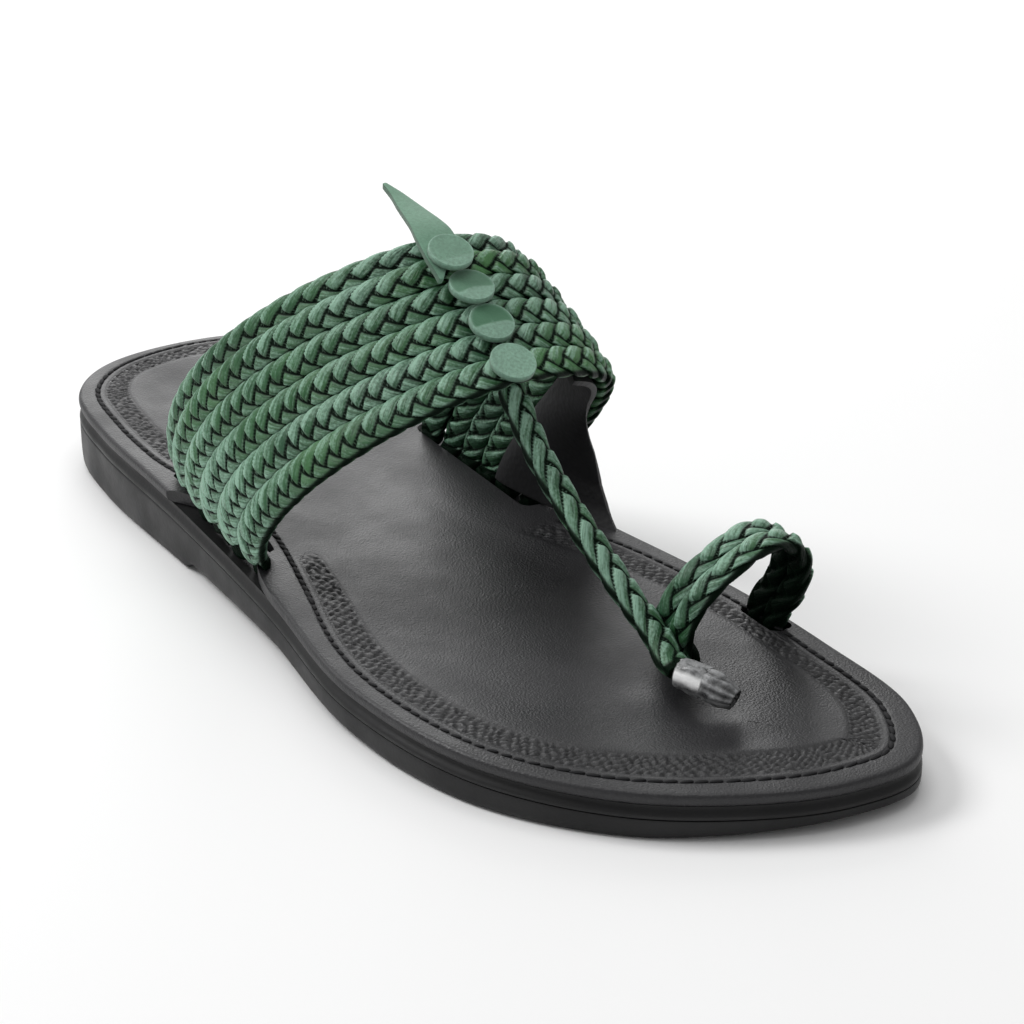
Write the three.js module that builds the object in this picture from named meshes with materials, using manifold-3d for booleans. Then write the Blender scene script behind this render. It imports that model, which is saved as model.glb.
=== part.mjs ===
// Kolhapuri sandal, right shoe, millimetres. Toe along +X, wearer's left (medial) along +Y, +Z up.
// The tables below use a drawing datum at the back of the heel; the finished group is moved so that
// its origin is the centre of the bounding box on the floor.
import * as THREE from 'three';
import { mergeVertices } from 'three/addons/utils/BufferGeometryUtils.js';
import Module from 'manifold-3d';

// ---- sole: stations along the shoe ----------------------------------------------------------
const FIT_GAP = 0.3;             // clearance between fitted pieces
const STATIONS = 36;             // sections from heel to toe
const SPINE_HEEL_X = 36;         // the top and bottom skins close onto this centre line
const SPINE_TOE_X = 238;
const SKIN_RINGS = [0.3, 0.65, 1];

// outline of the sole: x from the heel, y lateral edge, y medial edge
const OUTLINE = [
  // x, y
  [0, -1], [5, -23.2], [19.3, -37], [46.2, -42.8], [96.5, -44.7], [147.4, -47.6], [193.5, -52.5],
  [234.6, -45.7], [262.4, -26.7], [278.3, -2.8], [284.5, 17.2], [282.6, 35.1], [263, 48.1],
  [230.5, 49.9], [193.3, 48.4], [151.2, 40.4], [109.7, 34.4], [58.8, 36], [22.4, 32.6], [4.5, 20.9],
];

// height of the footbed's rim along the shoe
const RIM_HEIGHT = [
  // x, z
  [0, 20.3], [70, 19.3], [130, 16.4], [190, 12.9], [230, 12.1], [262, 11.1], [285, 10.8],
];

// underside of the sole: heel block, breast, raised waist, forefoot, toe spring
const UNDERSIDE = [
  // x, z
  [0, 1.2], [7, 0], [95, 0], [99.5, 2.4], [150, 2.2], [185, 1.1], [210, 0], [266, 0], [276, 0.9], [285, 2.4],
];

const FOOTBED_THICK = 3;
const MIDSOLE_THICK = 3.4;
const MIDSOLE_THIN_TOE = 0.6;    // the midsole is this much thinner at the toe
const FOOTBED_DISH = 0.9;        // the footbed's middle sits this far below its rim
const DISH_MARGIN = 0.28;        // share of the half width that stays level with the rim

// edge shapes, bottom to top: inset from the outline, share of the layer's height
const OUTSOLE_EDGE = [[1.3, 0], [0.35, 0.1], [0.1, 0.4], [0, 0.86], [0.5, 1]];
const MIDSOLE_EDGE = [[0.5, 0], [0, 0.2], [0.4, 0.42], [1.7, 0.62], [1.7, 1]];
const FOOTBED_EDGE = [[1.5, 0], [0.3, 0.3], [0, 0.62], [1, 1]];

// ---- band of six cords ----------------------------------------------------------------------
// each cord: lateral foot x, y; crest x, y, z; medial foot x, y
const BAND_CORDS = [
  // xl, yl, xc, yc, zc, xm, ym
  [82.5, -37.2, 144.4, 1.9, 89.8, 91.2, 31.1],
  [92.0, -38.9, 150.7, 2.1, 85.9, 99.4, 31.6],
  [101.9, -40.4, 156.4, 3.2, 81.5, 107.7, 32.2],
  [112.3, -41.4, 162.9, 3.6, 77.4, 116.1, 32.9],
  [123.2, -42.0, 169.9, 3.4, 73.6, 124.7, 33.5],
  [134.4, -42.4, 177.1, 2.0, 70.3, 133.6, 34.2],
];
const CORD_THICK = 5.2;
const CORD_OVERLAP = 0.25;       // neighbouring cords bed into each other by this much
const REAR_CORD_TRIM = 1.4;      // the rear cord is narrower along its free edge
const FOOT_CLEAR = 0.7;          // cords end this far above the midsole
const CORD_CLEAR = 0.8;          // cords run straight up to this height above the footbed
const CORD_STEPS = 12;           // rings from foot to crest on each side
const CORD_SIDES = 8;
// handles of the curves at the feet and at the crest; the first and last cord differ by the change
const LATERAL_FOOT_HANDLE = { x: -4.8, y: -10, z: 25.8, zChange: -14.4 };
const LATERAL_CREST_HANDLE = { x: 0, y: -37, z: -1.4, yChange: 1.7 };
const MEDIAL_FOOT_HANDLE = { x: 7.6, y: 1.6, z: 23.8, zChange: -0.8 };
const MEDIAL_CREST_HANDLE = { x: 4.7, y: 44.6, z: -0.4, yChange: -2.4 };

// ---- T-strap --------------------------------------------------------------------------------
const T_STRAP_PATH = [
  // x, y, z
  [173, 2.4, 71], [178, 2.4, 62.6], [187, 3.2, 51.2], [199, 4.7, 40.4], [213, 7.2, 28.6], [223.5, 9, 20.8],
  [229.5, 8.1, 18], [234.3, 8.1, 17.3],
];
const T_STRAP_WIDTH = 6.9;
const T_STRAP_THICK = 5;
const T_STRAP_STEPS = 22;

// ---- toe loop: two cords over the big toe ---------------------------------------------------
const LOOP_FOOT_LATERAL = { x: 219.4, y: 18.2 };
const LOOP_FOOT_MEDIAL = { x: 214.4, y: 45.4 };
const LOOP_CORD_PITCH = 6.3;     // the two cords lie side by side at this spacing
const LOOP_TOP_Z = 42;           // centre line of the cords at the top
const LOOP_CORD_WIDTH = 6.9;
const LOOP_CORD_THICK = 4.4;
const LOOP_STEPS = 20;
const LOOP_SIDES = 8;
const LOOP_PROFILE = [
  // share across, share of rise, outward belly, forward lean
  [0, 0, 0, 0], [0, 0.1, 0, 0], [0, 0.24, -2.6, 0.8], [0, 0.44, -4.2, 4], [0.06, 0.69, -3.2, 7], [0.24, 0.9, -1.2, 9.8],
  [0.5, 1, 0, 11], [0.76, 0.93, 0.6, 11], [0.95, 0.72, 0.8, 9.5], [1, 0.45, 0.8, 6.2], [1, 0.24, 0.3, 2], [1, 0.1, 0, 0],
  [1, 0, 0, 0],
];

// ---- discs and horn on the crest ------------------------------------------------------------
const DISC_RADIUS = 5.6;
const DISC_THICK = 1.5;
const DISC_SIDES = 28;
// each disc: centre x, y, z and its tilt about Y from lying flat, degrees
const DISCS = [
  ['disc_1', 153.9, -1.6, 91.9, 27],
  ['disc_2', 160.6, -0.2, 84.9, 22],
  ['disc_3', 168.7, 0, 78.7, 31],
  ['disc_4', 180.4, -1.5, 73.3, 29],
];
// horn: centre x, y, z and half width, from the root under disc_1 to the tip
const HORN = [
  [154.4, -3.4, 88.9, 3.6], [152.4, -2.6, 90.1, 5.2], [149.5, -1.7, 91.8, 5.6], [146, -1.4, 93.7, 5.2],
  [142, -1.0, 94.7, 4.5], [137, -0.6, 95.3, 3.7], [131.5, 0, 96, 2.8], [126.5, 0.4, 97, 1.7], [121.9, -0.2, 98.4, 0.5],
];
const HORN_THICK = 1.8;

// ---- wrapped end of the T-strap -------------------------------------------------------------
const FERRULE_PATH = [[235.9, 8.6, 17], [238.8, 9.8, 16.6], [242.2, 11.3, 16]];
const FERRULE_RADII = [3.5, 3.8, 3.6];
const KNOT_CENTRE = [245.9, 13, 15];
const KNOT_RADII = [3.5, 3.6, 3.3];
const KNOT_STEM_RADIUS = 2;
const ROUND_SIDES = 18;

// ---- ears: flaps inside the front cord ------------------------------------------------------
const EAR_THICK = 1.5;
// medial ear, foot to top: rear edge, bend beside the cord, front edge
const EAR_MEDIAL = [
  // x, y, z three times
  [129.5, 29.6, 16.8, 139.5, 30.6, 16.3, 155.8, 40.6, 15.4],
  [131.5, 30.1, 21.5, 141.5, 30.7, 21.5, 153.1, 39.9, 21.3],
  [134.5, 30.6, 27, 144.5, 31.2, 27, 152.2, 39.0, 27],
  [138.5, 31.5, 33, 147.5, 31.9, 33, 151.6, 37.0, 33],
  [142.5, 31.8, 38, 149.5, 32.1, 38, 152.6, 33.5, 38],
  [146.5, 31.8, 43, 151.5, 31.9, 43, 155.3, 32.0, 43],
  [151.5, 31.2, 48, 155.5, 31.2, 48, 159.0, 31.1, 48],
  [157.0, 29.4, 53, 160.5, 29.3, 53, 163.5, 29.0, 53],
  [162.0, 27.0, 57, 164.8, 26.7, 57, 167.2, 26.4, 57],
];
// lateral ear: it stays behind the front cord
const EAR_LATERAL_STEPS = 9;
const EAR_LATERAL_TOP = 0.6;     // how far up the cord's curve it reaches
const EAR_LATERAL_ACROSS = [-4.5, -2, 0.6];
const EAR_LATERAL_GAP = 0.5;

// ---- slots in the footbed where cords go through --------------------------------------------
// each slot: x from, x to, y from, y to, corner radius
const SLOTS = [
  [76.6, 100.5, -42.2, -33.4, 2.5],
  [90, 141.2, -60, -35.8, 5.5],
  [84.6, 139, 27.4, 60, 3],
  [212.2, 226.6, 15.3, 21.1, 2],
  [207.2, 221.6, 42.5, 48.3, 2],
];
const STEM_HOLE_RADIUS = 2.4;

const COLOURS = {
  rubber: 0x17181a, leather: 0x232426, cord: 0x3f7a4e, patch: 0x54836a, wrap: 0x8c8f92,
};

// ---- small helpers --------------------------------------------------------------------------
function lerp(a, b, t) {
  return a + (b - a) * t;
}

function fromTable(rows, x) {
  const last = rows.length - 1;
  if (x <= rows[0][0]) return rows[0][1];
  if (x >= rows[last][0]) return rows[last][1];
  const i = rows.findIndex((row) => row[0] > x);
  const [a, b] = [rows[i - 1], rows[i]];
  return lerp(a[1], b[1], (x - a[0]) / (b[0] - a[0]));
}

const SMOOTH_SPAN = 9;           // tables of gentle curves are averaged over this length
function smoothFromTable(rows, x) {
  let sum = 0;
  for (let k = -3; k <= 3; k += 1) sum += fromTable(rows, x + (k * SMOOTH_SPAN) / 3);
  return sum / 7;
}

const wasm = await Module();
wasm.setup();

function toManifold(geometry) {
  const bare = new THREE.BufferGeometry();
  bare.setAttribute('position', geometry.getAttribute('position').clone());
  if (geometry.index) bare.setIndex(geometry.index.clone());
  const merged = mergeVertices(bare, 1e-4);
  const vertProperties = new Float32Array(merged.getAttribute('position').array);
  const triVerts = [];
  const index = merged.index.array;
  for (let i = 0; i < index.length; i += 3) {
    const [a, b, c] = [index[i], index[i + 1], index[i + 2]];
    if (a !== b && b !== c && c !== a) triVerts.push(a, b, c);
  }
  return new wasm.Manifold(new wasm.Mesh({ numProp: 3, vertProperties, triVerts: new Uint32Array(triVerts) }));
}

function fromManifold(solid) {
  const mesh = solid.getMesh();
  const geometry = new THREE.BufferGeometry();
  geometry.setAttribute('position', new THREE.BufferAttribute(new Float32Array(mesh.vertProperties), 3));
  geometry.setIndex(new THREE.BufferAttribute(new Uint32Array(mesh.triVerts), 1));
  return geometry;
}

// closed skin through rings of equal length, capped with a fan at both ends
function skin(rings) {
  const positions = [];
  const index = [];
  const count = rings[0].length;
  for (const ring of rings) for (const p of ring) positions.push(p.x, p.y, p.z);
  for (let r = 0; r + 1 < rings.length; r += 1) {
    for (let i = 0; i < count; i += 1) {
      const j = (i + 1) % count;
      const [a, b, c, d] = [r * count + i, r * count + j, (r + 1) * count + i, (r + 1) * count + j];
      index.push(a, b, d, a, d, c);
    }
  }
  const cap = (ring, offset, flip) => {
    const centre = ring.reduce((sum, p) => sum.add(p), new THREE.Vector3()).divideScalar(count);
    positions.push(centre.x, centre.y, centre.z);
    const hub = positions.length / 3 - 1;
    for (let i = 0; i < count; i += 1) {
      const j = (i + 1) % count;
      if (flip) index.push(hub, offset + j, offset + i);
      else index.push(hub, offset + i, offset + j);
    }
  };
  cap(rings[0], 0, true);
  cap(rings[rings.length - 1], (rings.length - 1) * count, false);
  const geometry = new THREE.BufferGeometry();
  geometry.setAttribute('position', new THREE.Float32BufferAttribute(positions, 3));
  geometry.setIndex(index);
  return geometry;
}

// turns a skin the right way out, whichever way its rings ran
function solidOf(geometry) {
  const index = geometry.index.array;
  const p = geometry.getAttribute('position');
  let volume = 0;
  const [a, b, c] = [new THREE.Vector3(), new THREE.Vector3(), new THREE.Vector3()];
  for (let i = 0; i < index.length; i += 3) {
    a.fromBufferAttribute(p, index[i]);
    b.fromBufferAttribute(p, index[i + 1]);
    c.fromBufferAttribute(p, index[i + 2]);
    volume += a.dot(b.cross(c));
  }
  if (volume < 0) {
    for (let i = 0; i < index.length; i += 3) [index[i], index[i + 1]] = [index[i + 1], index[i]];
  }
  return toManifold(geometry);
}

// ---- sole layers ----------------------------------------------------------------------------
function outlineLoop() {
  const points = OUTLINE.map(([x, y]) => new THREE.Vector3(x, y, 0));
  const curve = new THREE.CatmullRomCurve3(points, true, 'centripetal');
  const dense = curve.getPoints(1200).slice(0, -1);
  const heel = dense.reduce((best, p, i) => (p.x < dense[best].x ? i : best), 0);
  const toe = dense.reduce((best, p, i) => (p.x > dense[best].x ? i : best), 0);
  const walk = (from, to, step) => {
    const side = [];
    for (let i = from; ; i = (i + step + dense.length) % dense.length) {
      side.push(dense[i]);
      if (i === to) return side;
    }
  };
  const lateral = walk(heel, toe, 1);
  const medial = walk(heel, toe, -1);
  const at = (side, x) => {
    const i = Math.max(1, side.findIndex((p) => p.x >= x));
    const [a, b] = [side[i - 1], side[i]];
    const t = b.x > a.x ? (x - a.x) / (b.x - a.x) : 0;
    return new THREE.Vector3(x, lerp(a.y, b.y, Math.min(1, Math.max(0, t))), 0);
  };
  const [x0, x1] = [dense[heel].x, dense[toe].x];
  const loop = [];
  const spine = [];
  const push = (p, y) => {
    loop.push(p);
    const x = Math.min(SPINE_TOE_X, Math.max(SPINE_HEEL_X, p.x));
    spine.push(new THREE.Vector3(x, y ?? 0, 0));
  };
  const centreY = (x) => {
    const c = Math.min(SPINE_TOE_X, Math.max(SPINE_HEEL_X, x));
    return (at(lateral, c).y + at(medial, c).y) / 2;
  };
  const station = (i) => x0 + ((x1 - x0) * (1 - Math.cos((Math.PI * i) / STATIONS))) / 2;
  push(dense[heel].clone(), centreY(x0));
  for (let i = 1; i < STATIONS; i += 1) push(at(lateral, station(i)), centreY(station(i)));
  push(dense[toe].clone(), centreY(x1));
  for (let i = STATIONS - 1; i > 0; i -= 1) push(at(medial, station(i)), centreY(station(i)));
  return { loop, spine };
}

const { loop: LOOP, spine: SPINE } = outlineLoop();

function inset(distance) {
  const count = LOOP.length;
  return LOOP.map((p, i) => {
    const before = LOOP[(i + count - 1) % count];
    const after = LOOP[(i + 1) % count];
    const along = after.clone().sub(before).normalize();
    return new THREE.Vector3(p.x - along.y * distance, p.y + along.x * distance, 0);
  });
}

function rimHeight(x) {
  return smoothFromTable(RIM_HEIGHT, x);
}

function midsoleTop(x) {
  return rimHeight(x) - FOOTBED_THICK - FIT_GAP;
}

function midsoleBottom(x) {
  return midsoleTop(x) - MIDSOLE_THICK + MIDSOLE_THIN_TOE * Math.min(1, Math.max(0, (x - 150) / 100));
}

function footbedTop(x, share) {
  const t = Math.min(1, Math.max(0, (share - DISH_MARGIN) / (1 - DISH_MARGIN)));
  return rimHeight(x) - FOOTBED_DISH * t * t * (3 - 2 * t);
}

// zBottom and zTop take x and the share of the way from the rim to the centre line
function layer(edge, zBottom, zTop) {
  const rings = [];
  const ring = (distance, share, height) => {
    const base = inset(distance);
    rings.push(base.map((p, i) => {
      const q = p.clone().lerp(SPINE[i], share);
      return new THREE.Vector3(q.x, q.y, height(q.x));
    }));
  };
  const first = edge[0][0];
  const last = edge[edge.length - 1][0];
  for (const s of [...SKIN_RINGS].reverse()) ring(first, s, (x) => zBottom(x, s));
  for (const [distance, part] of edge) ring(distance, 0, (x) => lerp(zBottom(x, 0), zTop(x, 0), part));
  for (const s of SKIN_RINGS) ring(last, s, (x) => zTop(x, s));
  return solidOf(skin(rings));
}

function slotCutter([xa, xb, ya, yb, r]) {
  const shape = new THREE.Shape();
  shape.moveTo(xa + r, ya);
  shape.lineTo(xb - r, ya);
  shape.absarc(xb - r, ya + r, r, -Math.PI / 2, 0);
  shape.lineTo(xb, yb - r);
  shape.absarc(xb - r, yb - r, r, 0, Math.PI / 2);
  shape.lineTo(xa + r, yb);
  shape.absarc(xa + r, yb - r, r, Math.PI / 2, Math.PI);
  shape.lineTo(xa, ya + r);
  shape.absarc(xa + r, ya + r, r, Math.PI, Math.PI * 1.5);
  const geometry = new THREE.ExtrudeGeometry(shape, { depth: 40, bevelEnabled: false, curveSegments: 4 });
  return toManifold(geometry);
}

function stemHoleCutter() {
  const geometry = new THREE.CylinderGeometry(STEM_HOLE_RADIUS, STEM_HOLE_RADIUS, 40, ROUND_SIDES);
  geometry.rotateX(Math.PI / 2);
  geometry.translate(KNOT_CENTRE[0], KNOT_CENTRE[1], 20);
  return toManifold(geometry);
}

function outsole() {
  return layer(OUTSOLE_EDGE, (x) => fromTable(UNDERSIDE, x), (x) => midsoleBottom(x) - FIT_GAP);
}

function midsole() {
  return layer(MIDSOLE_EDGE, midsoleBottom, midsoleTop);
}

function footbed() {
  const plain = layer(FOOTBED_EDGE, (x) => midsoleTop(x) + FIT_GAP, footbedTop);
  const cutters = SLOTS.map(slotCutter);
  cutters.push(stemHoleCutter());
  return plain.subtract(wasm.Manifold.union(cutters));
}

// ---- cords ----------------------------------------------------------------------------------
function bandCurves(k) {
  const u = k / (BAND_CORDS.length - 1);
  const [xl, yl, xc, yc, zc, xm, ym] = BAND_CORDS[k];
  const crest = new THREE.Vector3(xc, yc, zc);
  const lateral = new THREE.Vector3(xl, yl, rimHeight(xl) + CORD_CLEAR);
  const medial = new THREE.Vector3(xm, ym, rimHeight(xm) + CORD_CLEAR);
  const shift = (p, x, y, z) => new THREE.Vector3(p.x + x, p.y + y, p.z + z);
  const lf = LATERAL_FOOT_HANDLE;
  const lc = LATERAL_CREST_HANDLE;
  const mf = MEDIAL_FOOT_HANDLE;
  const mc = MEDIAL_CREST_HANDLE;
  return {
    lateral: new THREE.CubicBezierCurve3(
      lateral,
      shift(lateral, lf.x, lf.y, lf.z + lf.zChange * u),
      shift(crest, lc.x, lc.y + lc.yChange * u, lc.z),
      crest,
    ),
    medial: new THREE.CubicBezierCurve3(
      crest,
      shift(crest, mc.x, mc.y + mc.yChange * u, mc.z),
      shift(medial, mf.x, mf.y, mf.z + mf.zChange * u),
      medial,
    ),
  };
}

// centre line of cord k from the lateral foot to the medial foot, with its frame:
// forward is the way to the next cord, out is away from the foot
function bandFrames(k) {
  const line = (j) => {
    const { lateral, medial } = bandCurves(j);
    const a = lateral.getPoints(CORD_STEPS);
    const b = medial.getPoints(CORD_STEPS);
    const foot = (p) => new THREE.Vector3(p.x, p.y, midsoleTop(p.x) + FOOT_CLEAR);
    return [foot(a[0]), ...a, ...b.slice(1), foot(b[CORD_STEPS])];
  };
  const here = line(k);
  const count = BAND_CORDS.length;
  const back = line(Math.max(0, k - 1));
  const ahead = line(Math.min(count - 1, k + 1));
  const spans = (k === 0 || k === count - 1) ? 1 : 2;
  return here.map((p, i) => {
    const tangent = here[Math.min(i + 1, here.length - 1)].clone().sub(here[Math.max(i - 1, 0)]).normalize();
    const step = ahead[i].clone().sub(back[i]).divideScalar(spans);
    const forward = step.clone().addScaledVector(tangent, -step.dot(tangent));
    const pitch = forward.length();
    forward.normalize();
    const out = new THREE.Vector3().crossVectors(forward, tangent).normalize();
    return { centre: p, tangent, forward, out, pitch };
  });
}

// flat oval ring; the first and last ring are kept level so the cord stands flat on its foot
function ovalRing(frame, width, thick, sides, level) {
  const ring = [];
  for (let i = 0; i < sides; i += 1) {
    const a = (2 * Math.PI * i) / sides;
    const p = frame.centre.clone();
    p.addScaledVector(frame.forward, (Math.cos(a) * width) / 2);
    p.addScaledVector(frame.out, (Math.sin(a) * thick) / 2);
    if (level) p.z = frame.centre.z;
    ring.push(p);
  }
  return ring;
}

function cordSolid(frames, widthOf, thick, sides) {
  const last = frames.length - 1;
  const rings = frames.map((f, i) => ovalRing(f, widthOf(f, i), thick, sides, i === 0 || i === last));
  return solidOf(skin(rings));
}

function bandSolids() {
  return BAND_CORDS.map((row, k) => {
    const frames = bandFrames(k);
    const trim = k === 0 ? REAR_CORD_TRIM : 0;
    for (const f of frames) f.centre.addScaledVector(f.forward, trim / 2);
    return cordSolid(frames, (f) => f.pitch + CORD_OVERLAP * 2 - trim, CORD_THICK, CORD_SIDES);
  });
}

function pathFrames(points, steps, sideways) {
  const curve = new THREE.CatmullRomCurve3(points.map((p) => new THREE.Vector3(...p)), false, 'centripetal');
  const frames = [];
  for (let i = 0; i <= steps; i += 1) {
    const centre = curve.getPointAt(i / steps);
    const tangent = curve.getTangentAt(i / steps);
    const forward = sideways.clone().addScaledVector(tangent, -sideways.dot(tangent)).normalize();
    const out = new THREE.Vector3().crossVectors(forward, tangent).normalize();
    frames.push({ centre, tangent, forward, out });
  }
  return frames;
}

function tStrap() {
  const frames = pathFrames(T_STRAP_PATH, T_STRAP_STEPS, new THREE.Vector3(0, 1, 0));
  const rings = frames.map((f) => ovalRing(f, T_STRAP_WIDTH, T_STRAP_THICK, CORD_SIDES, false));
  return solidOf(skin(rings));
}

function loopPath(offset) {
  const foot = midsoleTop(LOOP_FOOT_MEDIAL.x) + FOOT_CLEAR;
  return LOOP_PROFILE.map(([across, up, belly, lean]) => [
    lerp(LOOP_FOOT_LATERAL.x, LOOP_FOOT_MEDIAL.x, across) + offset + lean,
    lerp(LOOP_FOOT_LATERAL.y, LOOP_FOOT_MEDIAL.y, across) + belly,
    lerp(foot, LOOP_TOP_Z, up),
  ]);
}

function loopCords() {
  return [-LOOP_CORD_PITCH / 2, LOOP_CORD_PITCH / 2].map((offset) => {
    const frames = pathFrames(loopPath(offset), LOOP_STEPS, new THREE.Vector3(1, 0, 0));
    return cordSolid(frames, () => LOOP_CORD_WIDTH, LOOP_CORD_THICK, LOOP_SIDES);
  });
}

function upper() {
  return wasm.Manifold.union([...bandSolids(), tStrap(), ...loopCords()]);
}

// ---- leather pieces on the crest ------------------------------------------------------------
function disc([, x, y, z, tilt]) {
  const geometry = new THREE.CylinderGeometry(DISC_RADIUS, DISC_RADIUS, DISC_THICK, DISC_SIDES);
  geometry.rotateX(Math.PI / 2);
  geometry.rotateY(THREE.MathUtils.degToRad(tilt));
  geometry.translate(x, y, z);
  return toManifold(geometry);
}

function horn() {
  const centres = HORN.map(([x, y, z]) => new THREE.Vector3(x, y, z));
  const rings = HORN.map(([, , , half], i) => {
    const tangent = centres[Math.min(i + 1, HORN.length - 1)].clone().sub(centres[Math.max(i - 1, 0)]).normalize();
    const across = new THREE.Vector3(0, 1, 0).addScaledVector(tangent, -tangent.y).normalize();
    const out = new THREE.Vector3().crossVectors(tangent, across).normalize();
    const corner = (s, t) => centres[i].clone().addScaledVector(across, s * half)
      .addScaledVector(out, (t * HORN_THICK) / 2);
    return [corner(-1, -1), corner(1, -1), corner(1, 1), corner(-1, 1)];
  });
  return solidOf(skin(rings));
}

function ferrule() {
  const frames = pathFrames(FERRULE_PATH, 4, new THREE.Vector3(0, 1, 0));
  const rings = frames.map((f, i) => {
    const t = (i / 4) * 2;
    const j = Math.min(1, Math.floor(t));
    const radius = lerp(FERRULE_RADII[j], FERRULE_RADII[j + 1], t - j);
    return ovalRing(f, radius * 2, radius * 2, ROUND_SIDES, false);
  });
  return solidOf(skin(rings));
}

function knot() {
  const [x, y, z] = KNOT_CENTRE;
  const ball = new THREE.SphereGeometry(1, ROUND_SIDES, 10);
  ball.scale(...KNOT_RADII);
  ball.translate(x, y, z);
  const foot = midsoleTop(x) + FIT_GAP;
  const stem = new THREE.CylinderGeometry(KNOT_STEM_RADIUS, KNOT_STEM_RADIUS, z - foot, ROUND_SIDES);
  stem.rotateX(Math.PI / 2);
  stem.translate(x, y, (z + foot) / 2);
  return toManifold(ball).add(toManifold(stem));
}

// ---- ears -----------------------------------------------------------------------------------
function earMedial() {
  const rings = EAR_MEDIAL.map((row) => {
    const line = [0, 3, 6].map((i) => new THREE.Vector3(row[i], row[i + 1], row[i + 2]));
    const side = (offset) => line.map((p) => new THREE.Vector3(p.x, p.y + offset, p.z));
    return [...side(-EAR_THICK / 2), ...side(EAR_THICK / 2).reverse()];
  });
  return solidOf(skin(rings));
}

function earLateral() {
  const frames = bandFrames(BAND_CORDS.length - 1);
  const inner = CORD_THICK / 2 + EAR_LATERAL_GAP;
  const rings = [];
  for (let i = 0; i <= EAR_LATERAL_STEPS; i += 1) {
    const at = 1 + (i / EAR_LATERAL_STEPS) * CORD_STEPS * EAR_LATERAL_TOP;
    const j = Math.floor(at);
    const [a, b] = [frames[j], frames[j + 1]];
    const centre = a.centre.clone().lerp(b.centre, at - j);
    const forward = a.forward.clone().lerp(b.forward, at - j).normalize();
    const out = a.out.clone().lerp(b.out, at - j).normalize();
    const row = (depth) => EAR_LATERAL_ACROSS.map((along) => (
      centre.clone().addScaledVector(forward, along).addScaledVector(out, -depth)
    ));
    rings.push([...row(inner), ...row(inner + EAR_THICK).reverse()]);
  }
  return solidOf(skin(rings));
}

// ---- put together ---------------------------------------------------------------------------
function mesh(name, solid, slot) {
  const material = new THREE.MeshStandardMaterial({ color: COLOURS[slot], roughness: 0.7, metalness: 0 });
  material.name = name;
  const made = new THREE.Mesh(fromManifold(solid), material);
  made.name = name;
  return made;
}

const sandal = new THREE.Group();
sandal.name = 'kolhapuri_sandal';
sandal.add(mesh('outsole', outsole(), 'rubber'));
sandal.add(mesh('midsole', midsole(), 'rubber'));
sandal.add(mesh('footbed', footbed(), 'leather'));
sandal.add(mesh('upper', upper(), 'cord'));
for (const row of DISCS) sandal.add(mesh(row[0], disc(row), 'patch'));
sandal.add(mesh('horn', horn(), 'patch'));
sandal.add(mesh('ferrule', ferrule(), 'wrap'));
sandal.add(mesh('ferrule_knot', knot(), 'wrap'));
sandal.add(mesh('ear_lateral', earLateral(), 'leather'));
sandal.add(mesh('ear_medial', earMedial(), 'leather'));

const bounds = new THREE.Box3().setFromObject(sandal);
const middle = bounds.getCenter(new THREE.Vector3());
for (const child of sandal.children) child.geometry.translate(-middle.x, -middle.y, -bounds.min.z);

export default sandal;
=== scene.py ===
"""Finish of a right kolhapuri sandal, modelled around its fixed frame. Metres, toe along +X, +Z up."""

import math
import random

import bmesh
import bpy
import numpy as np
from bpy.props import FloatProperty, FloatVectorProperty, IntProperty, PointerProperty
from mathutils import Matrix, Vector


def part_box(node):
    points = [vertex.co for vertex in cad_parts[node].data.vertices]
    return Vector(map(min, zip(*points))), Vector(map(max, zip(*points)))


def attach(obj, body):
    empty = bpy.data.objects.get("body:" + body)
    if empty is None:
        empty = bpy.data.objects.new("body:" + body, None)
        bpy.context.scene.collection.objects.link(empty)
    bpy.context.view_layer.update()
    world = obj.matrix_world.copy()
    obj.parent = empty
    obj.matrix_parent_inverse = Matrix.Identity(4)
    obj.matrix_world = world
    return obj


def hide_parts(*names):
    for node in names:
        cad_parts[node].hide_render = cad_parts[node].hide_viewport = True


bl_info = {
    "name": "Kolhapuri Sandal",
    "version": (1, 0, 0),
    "blender": (4, 5, 0),
    "location": "View3D > Sidebar > Sandal",
    "description": "Models the sole, plaited cords and trim of a right kolhapuri sandal",
    "category": "Add Mesh",
}

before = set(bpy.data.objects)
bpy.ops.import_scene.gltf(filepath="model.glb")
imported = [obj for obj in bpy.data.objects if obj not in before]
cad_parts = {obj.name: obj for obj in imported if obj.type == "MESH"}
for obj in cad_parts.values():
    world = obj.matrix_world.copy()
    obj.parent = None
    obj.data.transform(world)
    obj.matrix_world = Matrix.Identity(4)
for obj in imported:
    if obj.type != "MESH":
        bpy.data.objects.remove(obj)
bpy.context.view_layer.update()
MM = 0.001

# ---- sizes, in millimetres from the back of the heel (x), y + = medial, z up ----------------
OUTLINE = np.array([
    # x, y, clockwise from the heel along the lateral side
    (0, -1), (5, -23.2), (19.3, -37), (46.2, -42.8), (96.5, -44.7), (147.4, -47.6), (193.5, -52.5),
    (234.6, -45.7), (262.4, -26.7), (278.3, -2.8), (284.5, 17.2), (282.6, 35.1), (263, 48.1),
    (230.5, 49.9), (193.3, 48.4), (151.2, 40.4), (109.7, 34.4), (58.8, 36), (22.4, 32.6), (4.5, 20.9),
], float)
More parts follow.
